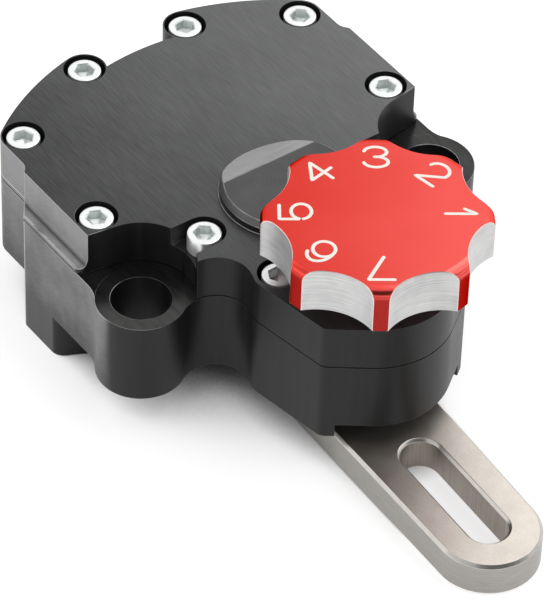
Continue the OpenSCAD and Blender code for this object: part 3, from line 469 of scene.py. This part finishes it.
def housingEdge(point, normals):
    fromEar, fromShaft = apart(point, math.copysign(housing["earX"], point.x)), apart(point)
    if fromEar < housing["boreReach"]:
        return housing["boreEdge"]
    if point.z > housing["top"] - near:
        if fromEar < housing["earReach"] and point.z > housing["top"] + near:
            return housing["thinEdge"]
        side = min(normals, key=lambda normal: abs(normal.z))
        inside = nearScrew(point, housing["screwReach"]) or apart(point, 0, knobY) < housing["valveReach"]
        inside = inside or fromShaft < housing["hubReach"] or (
            point.y > 0 and fromShaft < housing["chamberReach"] and abs(point.x) < housing["chamberX"])
        return 0 if inside or side.z > 0.5 else housing["partingEdge"]
    if max(abs(normal.z) for normal in normals) < 0.5:
        onCorner = abs(point.x) > housing["flankX"] and point.y > housing["cornerY"]
        return housing["cornerRound"] if onCorner else housing["sideEdge"]
    if abs(point.z) < near and point.y > housing["backY"]:
        return housing["thinEdge"]
    if fromShaft < housing["sealReach"] and point.z > housing["sealZ"]:
        return 0
    low, high = housing["bay"]
    if low < point.z < high and point.z != 0 and fromShaft < housing["bayReach"] and point.y > housing["bayY"]:
        return 0 if abs(point.z) > near else housing["sideEdge"]
    return housing["edge"]


def housingFace(normal, point):
    return 2 if normal.z > flat else 0


housingPiece = dressed("housingBody", "housing", [sideLook, edgeLook, milledLook], housing["widest"],
                       housingEdge, housingFace)
seat(housingPiece, "body", "housing_anodise", "housing")

# top cover, with its counterbores and the rounded lower edge along its flanks
cover = {"widest": 0.8, "edge": 0.055, "lowEdge": 0.06, "boreEdge": 0.03, "cornerRound": 0.2, "flankX": 40.61,
         "cornerY": 25, "low": 19.25, "top": 29.35, "screwReach": 4.5, "capReach": 12.3, "valveReach": 9.3}


def coverEdge(point, normals):
    top, low = point.z > cover["top"] - near, point.z < cover["low"] + near
    inBore = apart(point) < cover["capReach"] or apart(point, 0, knobY) < cover["valveReach"]
    if inBore or nearScrew(point, cover["screwReach"]):
        return cover["boreEdge"] if top else 0
    if top:
        return cover["edge"]
    if not low and abs(point.x) > cover["flankX"] and point.y > cover["cornerY"]:
        return cover["cornerRound"]
    return cover["lowEdge"]


def coverFace(normal, point):
    return 2 if normal.z > flat and point.z > cover["top"] - near else 0


coverPiece = dressed("coverPlate", "top_cover", [sideLook, edgeLook, coverTopLook], cover["widest"],
                     coverEdge, coverFace)
seat(coverPiece, "body", "cover_anodise", "top_cover")

# bearing cap with its milled facet
cap = {"edge": 0.14, "top": 29.6, "sharpest": 8, "facetSlope": (0.9, 0.99), "facetY": 7, "sideSlope": 0.2,
       "rimReach": 12}


def capFace(normal, point):
    if cap["facetSlope"][0] < normal.z < cap["facetSlope"][1] and point.y > cap["facetY"]:
        return 2
    return 3 if abs(normal.z) < cap["sideSlope"] and apart(point) > cap["rimReach"] else 0


capPiece = dressed("bearingCap", "centre_cap", [capLook, capEdgeLook, capFacetLook, sideLook], cap["edge"],
                   lambda point, normals: cap["edge"] if point.z > cap["top"] else 0, capFace, cap["sharpest"])
seat(capPiece, "body", "cap_anodise", "centre_cap")

# valve body, whose flange shows under the knob
collar = {"edge": 0.2, "top": 29.3, "reach": 13}


def collarEdge(point, normals):
    return collar["edge"] if point.z > collar["top"] and apart(point, 0, knobY) > collar["reach"] else 0


collarPiece = dressed("valveCollar", "valve_body", [capLook, edgeLook], collar["edge"], collarEdge,
                      lambda normal, point: 0)
seat(collarPiece, "body", "cap_anodise", "valve_body")


# one lobe of the knob with half a flute on each side, about the Z axis, its first flute on X
knobValues = {"radius": 23.0, "round": 2.6, "lobes": 8, "waist": 19.45, "fluteRadius": 12.55, "edge": 0.11,
              "lowEdge": 0.12, "boreRadius": 4.0, "roof": 3.4, "track": (8.1, 10.9), "trackDepth": 0.7,
              "firstFlute": 77.8, "grubHeight": 4.0, "grubRadius": 1.5, "grubReach": 11.5,
              "wallSteps": 14, "lobeSteps": 12, "roundSteps": 12,
              "top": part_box("knob")[1].z / mm, "low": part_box("knob")[0].z / mm}


def lobeTemplate(values):
    shape = bmesh.new()
    finish = shape.faces.layers.int.new("finish")      # 0 red, 1 bare rim, 2 bare flute
    sector = 2 * math.pi / values["lobes"]
    wide, flute, edge = values["radius"], values["fluteRadius"], values["edge"]
    away = values["waist"] + flute
    low, top, soft = values["low"], values["top"], values["round"]
    steps, lobeSteps = values["wallSteps"], values["lobeSteps"]

    def corner(r):        # where the flute's wall meets a radius: its angle about the knob and about the flute
        about = math.acos((away * away + r * r - flute * flute) / (2 * away * r))
        return about, math.asin(r * math.sin(about) / flute)

    def put(x, y, z):
        return shape.verts.new((x * mm, y * mm, z * mm))

    def mirrored(x, y):   # the same spot beside the next flute
        return x * math.cos(sector) + y * math.sin(sector), x * math.sin(sector) - y * math.cos(sector)

    def wall(reach, z, r):
        spots = [(away - r * math.cos(reach * k / steps), r * math.sin(reach * k / steps)) for k in range(steps + 1)]
        return [put(*spot, z) for spot in spots], [put(*mirrored(*spot), z) for spot in spots][::-1]

    def lobe(first, r, z):
        x, y, height = first
        start = math.atan2(y, x)
        spots = [(r * math.cos(a), r * math.sin(a)) for a in
                 [start + (sector - 2 * start) * k / lobeSteps for k in range(1, lobeSteps)]]
        return [put(x, y, height)] + [put(*spot, z) for spot in spots] + [put(*mirrored(x, y), height)]

    rows = []

    def row(r, z, slope, inset=0.0):
        about, atWall = corner(r)
        if slope is None:                      # the upright part of the side
            tilt = (1.0, 0.0)
            ahead = (r * math.cos(about + edge / r), r * math.sin(about + edge / r), z)
        else:                                  # the shoulder, where the edge runs obliquely
            small = 1e-4
            r2 = wide - soft + soft * math.cos(slope - small)
            gap = (flute * (atWall - corner(r2)[1]), soft * (math.sin(slope) - math.sin(slope - small)))
            size = math.hypot(*gap)
            tilt = (gap[1] / size, -gap[0] / size)
            if slope > math.pi / 2 - 1e-6:
                tilt = (0.0, 1.0)
            spot = Vector((r * math.cos(about), r * math.sin(about), z))
            about2 = corner(r2)[0]
            back = Vector((r2 * math.cos(about2), r2 * math.sin(about2), top - soft + soft * math.sin(slope - small)))
            facing = Vector((math.cos(slope) * math.cos(about), math.cos(slope) * math.sin(about), math.sin(slope)))
            ahead = spot + facing.cross(spot - back).normalized() * edge
            if (ahead - Vector((away, 0, z))).length < (spot - Vector((away, 0, z))).length:
                ahead = spot - (ahead - spot)
        left, right = wall(atWall - tilt[0] * edge / flute, z - tilt[1] * edge, flute + inset)
        rows.append((left, lobe(ahead, r - inset, z), right))

    row(wide, low, None, values["lowEdge"])
    row(wide, low + values["lowEdge"], None)
    for k in range(values["roundSteps"] + 1):
        slope = math.pi / 2 * k / values["roundSteps"]
        row(wide - soft + soft * math.cos(slope), top - soft + soft * math.sin(slope), slope if k else None)

    def join(corners, kind):
        face = addFace(shape, corners)
        face[finish] = kind
        face.smooth = True

    for index, (under, over) in enumerate(zip(rows, rows[1:])):
        for part in range(3):
            kind = 1 if index == 0 else (0 if part == 1 else 2)
            for one, two, three, four in zip(under[part], under[part][1:], over[part][1:], over[part]):
                join([one, two, three, four], kind)
        for part in range(2):
            join([under[part][-1], under[part + 1][0], over[part + 1][0], over[part][-1]], 1)
    # bright rim where the flutes meet the top, then the flat top
    left, middle, right = rows[-1]
    reach = corner(wide - soft)[1]
    rim = [(away - (flute + edge) * math.cos(reach * k / steps), (flute + edge) * math.sin(reach * k / steps))
           for k in range(steps)]
    rimLeft = [put(*spot, top) for spot in rim] + [middle[0]]
    rimRight = [middle[-1]] + [put(*mirrored(*spot), top) for spot in rim][::-1]
    for side, upper in ((left, rimLeft), (right, rimRight)):
        for one, two, three, four in zip(side, side[1:], upper[1:], upper):
            join([one, two, three, four], 1)
    join([put(0, 0, top)] + rimLeft + middle[1:-1] + rimRight, 0)
    # underside with the detent's track, and the stem's bore
    count = 2 * steps + lobeSteps
    inner, outer = values["track"]
    profile = [(outer, low), (outer, low + values["trackDepth"]), (inner, low + values["trackDepth"]),
               (inner, low), (values["boreRadius"], low), (values["boreRadius"], top - values["roof"])]
    rings = [[put(r * math.cos(sector * k / count), r * math.sin(sector * k / count), z) for k in range(count + 1)]
             for r, z in profile]
    join(rows[0][0] + rows[0][1] + rows[0][2] + rings[0][::-1], 0)
    for under, over in zip(rings, rings[1:]):
        for one, two, three, four in zip(under, under[1:], over[1:], over):
            join([one, two, three, four], 0)
    join([put(0, 0, top - values["roof"])] + rings[-1], 0)
    bmesh.ops.recalc_face_normals(shape, faces=shape.faces)
    return asObject("lobeTemplate", shape, [redLook])


# the lobes set round the axis, joined, and drilled for the grub screw
lobePlan = Plan("lobeSetting", {
    "Geometry": ("NodeSocketGeometry", None), "Lobe": ("NodeSocketObject", None),
    "Lobes": ("NodeSocketInt", knobValues["lobes"]), "First Flute": ("NodeSocketFloat", 0.0),
    "Centre": ("NodeSocketVector", (0, 0, 0)), "Drill Radius": ("NodeSocketFloat", 0.0015),
    "Drill Length": ("NodeSocketFloat", 0.02), "Drill Place": ("NodeSocketVector", (0, 0, 0)),
    "Weld": ("NodeSocketFloat", 2e-6), "Finish": ("NodeSocketMaterial", None),
    "Edge Finish": ("NodeSocketMaterial", None), "Flute Finish": ("NodeSocketMaterial", None)})
step = lobePlan.step
step("lobe", "GeometryNodeObjectInfo", None, {"Object": ("given", "Lobe")})
step("spots", "GeometryNodeMeshLine", {"mode": "OFFSET"}, {"Count": ("given", "Lobes"), "Offset": (0.0, 0.0, 0.0)})
step("number", "GeometryNodeInputIndex")
step("part", "ShaderNodeMath", {"operation": "DIVIDE"}, {0: 2 * math.pi, 1: ("given", "Lobes")})
step("turn", "ShaderNodeMath", {"operation": "MULTIPLY_ADD"},
     {0: ("number", 0), 1: ("part", 0), 2: ("given", "First Flute")})
step("spin", "ShaderNodeCombineXYZ", None, {"Z": ("turn", 0)})
step("set", "GeometryNodeInstanceOnPoints", None,
     {"Points": ("spots", 0), "Instance": ("lobe", "Geometry"), "Rotation": ("spin", 0)})
step("loose", "GeometryNodeRealizeInstances", None, {"Geometry": ("set", 0)})
step("closed", "GeometryNodeMergeByDistance", None, {"Geometry": ("loose", 0), "Distance": ("given", "Weld")})
step("drill", "GeometryNodeMeshCylinder", None,
     {"Vertices": 32, "Radius": ("given", "Drill Radius"), "Depth": ("given", "Drill Length")})
step("tilt", "ShaderNodeCombineXYZ", None, {"Y": math.pi / 2, "Z": ("given", "First Flute")})
step("drillSet", "GeometryNodeTransform", None,
     {"Geometry": ("drill", "Mesh"), "Translation": ("given", "Drill Place"), "Rotation": ("tilt", 0)})
step("drilled", "GeometryNodeMeshBoolean", {"operation": "DIFFERENCE", "solver": "EXACT"},
     {"Mesh 1": ("closed", 0), "Mesh 2": ("drillSet", 0)})
step("moved", "GeometryNodeTransform", None, {"Geometry": ("drilled", 0), "Translation": ("given", "Centre")})
step("real", "GeometryNodeRealizeInstances", None, {"Geometry": ("moved", 0)})
step("kind", "GeometryNodeInputNamedAttribute", {"data_type": "INT"}, {"Name": "finish"})
step("red", "GeometryNodeSetMaterial", None, {"Geometry": ("real", 0), "Material": ("given", "Finish")})
for key, before, number, label in (("worn", "red", 1, "Edge Finish"), ("bare", "worn", 2, "Flute Finish")):
    step(key + "Where", "FunctionNodeCompare", {"data_type": "INT", "operation": "EQUAL"},
         {2: ("kind", "Attribute"), 3: number})
    step(key, "GeometryNodeSetMaterial", None,
         {"Geometry": (before, 0), "Selection": (key + "Where", 0), "Material": ("given", label)})
step("out", "NodeGroupOutput", None, {0: ("bare", 0)})

lobe = lobeTemplate(knobValues)
firstFlute = math.radians(knobValues["firstFlute"])
drillMiddle = (knobValues["grubReach"] + knobValues["radius"]) / 2
knobPiece = asObject("adjusterKnob", bmesh.new(), [redLook, redEdgeLook, fluteLook])
lobePlan.run(knobPiece, {
    "Lobe": lobe, "Lobes": knobValues["lobes"], "First Flute": firstFlute, "Centre": tuple(knobAxis),
    "Drill Radius": knobValues["grubRadius"] * mm, "Weld": 2e-6,
    "Drill Length": (knobValues["radius"] - knobValues["grubReach"]) * mm,
    "Drill Place": (drillMiddle * math.cos(firstFlute) * mm, drillMiddle * math.sin(firstFlute) * mm,
                    (knobValues["low"] + knobValues["grubHeight"]) * mm),
    "Finish": redLook, "Edge Finish": redEdgeLook, "Flute Finish": fluteLook})
bpy.data.objects.remove(lobe)
knobPiece.data.set_sharp_from_angle(angle=math.radians(32))
flattened(knobPiece)
seat(knobPiece, "dial", "knob_red_anodise", "knob")

# link arm with bright chamfers, its slot and sides milled and darkened with painted shade; distances in mm along it
# and across it
arm = {"edge": 0.08, "heading": -93.1, "covered": 12, "slot": (45, 78), "slotReach": 4.4, "sideSlope": 0.2}
armAlong = Vector((math.cos(math.radians(arm["heading"])), math.sin(math.radians(arm["heading"])), 0))


def armFace(normal, point):
    if arm["sideSlope"] < abs(normal.z) < flat:
        return 2
    along, across = point.dot(armAlong), abs(point.cross(armAlong).z)
    if abs(normal.z) < arm["sideSlope"] and along > arm["covered"]:
        return 3 if arm["slot"][0] < along < arm["slot"][1] and across < arm["slotReach"] else 4
    return 0


armPiece = dressed("linkArm", "link_arm", [armLook, armEdgeLook, armEdgeLook, slotShadedWallLook, armShadedSideLook],
                   arm["edge"], lambda point, normals: arm["edge"], armFace)
seat(armPiece, "arm", "arm_stainless", "link_arm")
print("main pieces dressed")


# one socket cap screw about the Z axis, its head's seat at zero
def screwTemplate(values):
    headR, threadR, end = values["headD"] / 2, values["threadD"] / 2, -values["length"]
    top, chamfer, heel, tip = values["headH"], values["chamfer"], values["heel"], values["tip"]
    count, socketEnd = values["sides"], top - values["socketH"]
    profile = [(0, end), (threadR - tip, end), (threadR, end + tip), (threadR, 0), (headR - heel, 0), (headR, heel),
               (headR, top - chamfer), (headR - chamfer * 0.3, top - chamfer * 0.3), (headR - chamfer, top)]
    shape = bmesh.new()
    inSocket = shape.faces.layers.bool.new("inSocket")
    rings = []
    for r, z in profile:
        if r == 0:
            rings.append([shape.verts.new((0, 0, z * mm))] * count)
        else:
            rings.append([shape.verts.new((r * math.cos(2 * math.pi * i / count) * mm,
                                           r * math.sin(2 * math.pi * i / count) * mm, z * mm))
                          for i in range(count)])

    def hexRing(scale, z):
        points = []
        for i in range(count):
            a = 2 * math.pi * i / count
            reach = values["socketAf"] / 2 * scale / math.cos(a % (math.pi / 3) - math.pi / 6)
            points.append(shape.verts.new((reach * math.cos(a) * mm, reach * math.sin(a) * mm, z * mm)))
        return points

    rings += [hexRing(values["mouthFlare"], top), hexRing(1.0, top - values["mouth"]), hexRing(1.0, socketEnd)]
    low = shape.verts.new((0, 0, (socketEnd - values["coneH"]) * mm))
    for index, (below, above) in enumerate(zip(rings, rings[1:])):
        for i in range(count):
            k = (i + 1) % count
            face = addFace(shape, [below[i], below[k], above[k], above[i]])
            face.smooth = index not in (0, 3) and index < len(profile) - 1     # flat: tip, seat, top and socket
            face[inSocket] = index >= len(profile)
    for i in range(count):
        face = shape.faces.new([rings[-1][i], rings[-1][(i + 1) % count], low])
        face[inSocket] = True
    bmesh.ops.recalc_face_normals(shape, faces=shape.faces)
    for edge in shape.edges:
        if edge.calc_face_angle(0) > math.radians(30):
            edge.smooth = False
    return asObject("screwTemplate", shape, [zincLook])


# the screws set on their seats, each with its own turn
screwPlan = Plan("screwSetting", {
    "Geometry": ("NodeSocketGeometry", None), "Screw": ("NodeSocketObject", None),
    "Seat Height": ("NodeSocketFloat", 0.025), "Size": ("NodeSocketFloat", 1.0),
    "Finish": ("NodeSocketMaterial", None), "Socket Finish": ("NodeSocketMaterial", None)})
step = screwPlan.step
step("screw", "GeometryNodeObjectInfo", None, {"Object": ("given", "Screw")})
step("turn", "GeometryNodeInputNamedAttribute", {"data_type": "FLOAT"}, {"Name": "turn"})
step("spin", "ShaderNodeCombineXYZ", None, {"Z": ("turn", "Attribute")})
step("lift", "ShaderNodeCombineXYZ", None, {"Z": ("given", "Seat Height")})
step("set", "GeometryNodeInstanceOnPoints", None,
     {"Points": ("given", "Geometry"), "Instance": ("screw", "Geometry"), "Rotation": ("spin", 0),
      "Scale": ("given", "Size")})
step("raise", "GeometryNodeTranslateInstances", None, {"Instances": ("set", 0), "Translation": ("lift", 0)})
step("real", "GeometryNodeRealizeInstances", None, {"Geometry": ("raise", 0)})
step("zinc", "GeometryNodeSetMaterial", None, {"Geometry": ("real", 0), "Material": ("given", "Finish")})
step("socket", "GeometryNodeInputNamedAttribute", {"data_type": "BOOLEAN"}, {"Name": "inSocket"})
step("dark", "GeometryNodeSetMaterial", None,
     {"Geometry": ("zinc", 0), "Selection": ("socket", "Attribute"), "Material": ("given", "Socket Finish")})
step("out", "NodeGroupOutput", None, {0: ("dark", 0)})

template = screwTemplate(screwSet)
spots = bmesh.new()
for x, y in screwSpots:
    spots.verts.new((x * mm, y * mm, 0))
screwPiece = asObject("coverScrews", spots, [zincLook, socketLook])
turn = screwPiece.data.attributes.new("turn", "FLOAT", "POINT")
turn.data.foreach_set("value", [math.radians(a) for a in screwSet["turns"]])
screwPlan.run(screwPiece, {
    "Screw": template, "Seat Height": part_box("cover_screw_1")[1].z - screwSet["headH"] * mm, "Size": 1.0,
    "Finish": zincLook, "Socket Finish": socketLook})
bpy.data.objects.remove(template)
seat(screwPiece, "body", "zinc_steel", *["cover_screw_%d" % i for i in range(1, 11)])
print("cover screws set:", len(screwSpots))


# numbers on the knob: single strokes with round ends, in mm about each number's middle
def arc(x, y, rx, ry, start, end, steps=20):
    angles = [math.radians(start + (end - start) * i / steps) for i in range(steps + 1)]
    return [(x + rx * math.cos(a), y + ry * math.sin(a)) for a in angles]


digits = {"radius": 16.2, "width": 0.74, "height": 0.05,
          "angles": {1: -34.7, 2: 10.3, 3: 55.3, 4: 100.3, 5: 145.3, 6: -169.7, 7: -124.7}}
strokes = {
    1: [[(-1.05, 0.7), (0.35, 3.05), (0.35, -3.05)]],
    2: [arc(0.05, 1.15, 2.3, 2.0, 172, -20) + [(-2.3, -3.1), (2.3, -3.1)]],
    3: [arc(0, 1.5, 2.25, 1.5, 172, -75) + [(-0.16, 0.05)], [(-0.16, 0.05)] + arc(0.05, -1.5, 2.4, 1.55, 75, -172)],
    4: [[(0.9, -3.15), (0.9, 3.15), (-2.5, -0.76), (2.8, -0.76)]],
    5: [[(1.77, 3.1), (-2.25, 3.1), (-2.25, -0.7)] + arc(0, -1.19, 2.2, 2.0, 168, -168)],
    6: [arc(0, -0.9, 2.2, 2.2, 0, 360, 40), arc(0, 0, 2.35, 3.1, 35, 200)],
    7: [[(-2.5, 3.15), (2.5, 3.15), (-0.6, -3.2)]]}


def smoothed(path, step=0.18):
    points = [Vector((*path[0], 0))]
    for x, y in path[1:]:
        target = Vector((x, y, 0))
        gap = (target - points[-1]).length
        count = max(1, int(gap / step))
        first = points[-1].copy()
        points += [first.lerp(target, (i + 1) / count) for i in range(count)]
    return points


def addStroke(shape, path, spot, facing, z):
    half, flat, sides = digits["width"] / 2, digits["height"] / 2, 12
    points = smoothed(path)
    starts = points[1] - points[0]
    ends = points[-1] - points[-2]
    roundEnd = [math.radians(90 * k / 4.4) for k in range(1, 5)]
    stations = [(points[0] - starts.normalized() * half * math.sin(a), starts, math.cos(a)) for a in roundEnd[::-1]]
    stations += [(point, points[min(i + 1, len(points) - 1)] - points[max(i - 1, 0)], 1.0)
                 for i, point in enumerate(points)]
    stations += [(points[-1] + ends.normalized() * half * math.sin(a), ends, math.cos(a)) for a in roundEnd]
    rings = []
    for point, heading, size in stations:
        sideways = Vector((-heading.y, heading.x, 0)).normalized()
        ring = []
        for n in range(sides):
            b = 2 * math.pi * n / sides
            local = point + sideways * half * size * math.cos(b) + Vector((0, 0, flat * size * math.sin(b)))
            ring.append(shape.verts.new(spot + (facing @ local) * mm + Vector((0, 0, z * mm))))
        rings.append(ring)
    for one, two in zip(rings, rings[1:]):
        for n in range(sides):
            m = (n + 1) % sides
            shape.faces.new([one[n], one[m], two[m], two[n]]).smooth = True
    shape.faces.new(rings[0])
    shape.faces.new(rings[-1])


numberShape = bmesh.new()
for number, angle in digits["angles"].items():
    a = math.radians(angle)
    outward = Vector((math.cos(a), math.sin(a), 0))
    facing = Matrix.Rotation(a - math.pi / 2, 3, "Z")
    for path in strokes[number]:
        addStroke(numberShape, path, knobAxis + outward * digits["radius"] * mm, facing, knobValues["top"])
bmesh.ops.recalc_face_normals(numberShape, faces=numberShape.faces)
numberPiece = asObject("knobNumbers", numberShape, [digitLook])
seat(numberPiece, "dial", "seal_plastic")
print("knob numbers drawn")

# the pieces that keep their CAD shape
plainLooks = {
    "cover_gasket": gasketLook, "cap_seal": rubberLook, "valve_body_seal": rubberLook, "shaft_seal": rubberLook,
    "upper_bush": bronzeLook, "lower_bush": bronzeLook, "valve_seat": bronzeLook, "vane_shaft": steelLook,
    "vane_tip_seal": sealLook, "arm_washer": zincLook, "arm_screw": zincLook, "metering_needle": stemLook,
    "valve_stem": stemLook, "knob_grub_screw": blackSteelLook, "detent_ball": stemLook,
    "detent_spring": stemLook, "housing": sideLook, "top_cover": sideLook, "centre_cap": capLook,
    "valve_body": capLook, "knob": redLook, "link_arm": armLook}
for i in range(1, 11):
    plainLooks["cover_screw_%d" % i] = zincLook
for name, look in plainLooks.items():
    nodes[name].data.materials.clear()
    nodes[name].data.materials.append(look)

# floor and soft studio light
studio = {"floorZ": -0.0101, "floorGlow": 0.6, "floorWhite": 0.6, "floorBounce": 0.5, "sky": 0.66,
          "contact": {"open": (0.12, 0.46), "reach": 0.5, "shade": 0.1, "arm": (-0.048, -0.062),
                      "slotX": (-0.012, -0.007), "slotY": (-0.042, -0.051)},
          "key": {"from": (0.62, -0.20, 0.85), "level": 0.26, "angle": 60},
          "left": {"from": (-0.80, 0.15, 0.58), "level": 0.13, "angle": 70},
          "darkSide": {"towards": (-0.447, -0.894, 0.0), "reach": (-0.4, 0.0), "level": 0.10},
          "brightStrip": {"from": (0.03, 0.12), "to": (0.30, 0.48)}, "ceiling": (0.80, 0.97)}


# a floor or sky has one shader that lights the part, and one that the camera, reflections and glass see
def bareNet(owner):
    net = Net(owner)
    net.tree.nodes.clear()
    return net


def showStage(net, kind, lighting, shown):
    path = net.add("ShaderNodeLightPath", output="Is Camera Ray")
    seen = net.calc("MAXIMUM", path, path.output("Is Glossy Ray"))
    seen = net.calc("MAXIMUM", seen, path.output("Is Transmission Ray"))
    blend = net.add("ShaderNodeMixShader", None, [seen, lighting, shown])
    net.plug(net.tree.nodes.new(kind).inputs["Surface"], blend)


floorLook = bpy.data.materials.new("floorWhite")
ground = bareNet(floorLook)


def groundRamp(value, ends):
    return ground.ramp(value, *ends, "LINEAR")


def diffuse(level):
    return ground.add("ShaderNodeBsdfDiffuse", None, {"Color": rgb(level)})


# soft contact shadow close to the part, which ends under the arm, whose slot shows a bright floor
contact = studio["contact"]
closeness = ground.add("ShaderNodeAmbientOcclusion", None, {"Distance": contact["reach"]}, "AO")
where = ground.parts(ground.place())
underArm = groundRamp(where.output("Y"), contact["arm"])
underSlot = groundRamp(where.output("Y"), contact["slotY"]) * groundRamp(where.output("X"), contact["slotX"])
bright = ground.calc("MAXIMUM", underArm, underSlot)
bright = ground.calc("MAXIMUM", groundRamp(closeness, contact["open"]), bright)
glow = ground.add("ShaderNodeEmission", None, {"Strength": studio["floorGlow"]})
white = ground.add("ShaderNodeAddShader", None, [diffuse(studio["floorWhite"]), glow])
shadowed = ground.add("ShaderNodeMixShader", None, [bright, diffuse(contact["shade"]), white])
showStage(ground, "ShaderNodeOutputMaterial", diffuse(studio["floorBounce"]), shadowed)
floorShape = bmesh.new()
for x, y in [(-4, -4), (4, -4), (4, 4), (-4, 4)]:
    floorShape.verts.new((x, y, studio["floorZ"]))
floorShape.faces.new(floorShape.verts)
floor = asObject("floor", floorShape, [floorLook])

# reflections find one side of the room dark, but for a bright strip low in it and the ceiling
world = bpy.data.worlds.new("studioSky")
bpy.context.scene.world = world
sky = bareNet(world)
direction = sky.place("Generated")
height = sky.parts(direction).output("Z")
towards = sky.vector("DOT_PRODUCT", [direction, studio["darkSide"]["towards"]], "Value")
strip = studio["brightStrip"]
lit = sky.ramp(height, *strip["from"]) * (1 - sky.ramp(height, *strip["to"]))
lit = sky.calc("MAXIMUM", lit, sky.ramp(height, *studio["ceiling"]))
dark = sky.ramp(towards, *studio["darkSide"]["reach"]) * (1 - studio["darkSide"]["level"]) * (1 - lit)
showStage(sky, "ShaderNodeOutputWorld",
          sky.add("ShaderNodeBackground", None, {"Color": rgb(1.0), "Strength": studio["sky"]}),
          sky.add("ShaderNodeBackground", None, {"Color": rgb(1.0), "Strength": 1 - dark}))

for name in ("key", "left"):
    values = studio[name]
    origin = Vector(values["from"]).normalized()
    lamp = bpy.data.lights.new(name + "Light", "SUN")
    lamp.energy = values["level"] * math.pi / origin.z
    lamp.angle = math.radians(values["angle"])
    light = bpy.data.objects.new(name + "Light", lamp)
    light.rotation_euler = origin.to_track_quat("Z", "Y").to_euler()
    bpy.context.scene.collection.objects.link(light)

# camera at the photograph's viewing angle
view = {"azimuth": -36.96, "elevation": 43.13, "roll": 1.93, "lens": 268.42,
        "place": (-0.40554, -0.53441, 0.62796)}
az, el, roll = (math.radians(view[k]) for k in ("azimuth", "elevation", "roll"))
back = Vector((math.sin(az) * math.cos(el), -math.cos(az) * math.cos(el), math.sin(el)))
sideways = (-back).cross(Vector((0, 0, 1))).normalized()
rise = sideways.cross(-back)
right = sideways * math.cos(roll) + rise * math.sin(roll)
up = rise * math.cos(roll) - sideways * math.sin(roll)
cameraData = bpy.data.cameras.new("camera")
cameraData.lens = view["lens"]
cameraData.sensor_width = 36
cameraData.clip_start, cameraData.clip_end = 0.01, 20
camera = bpy.data.objects.new("camera", cameraData)
camera.matrix_world = Matrix((right, up, back)).transposed().to_4x4()
camera.location = view["place"]
bpy.context.scene.collection.objects.link(camera)
bpy.context.scene.camera = camera
bpy.context.scene.view_settings.view_transform = "Standard"

print("scene ready")
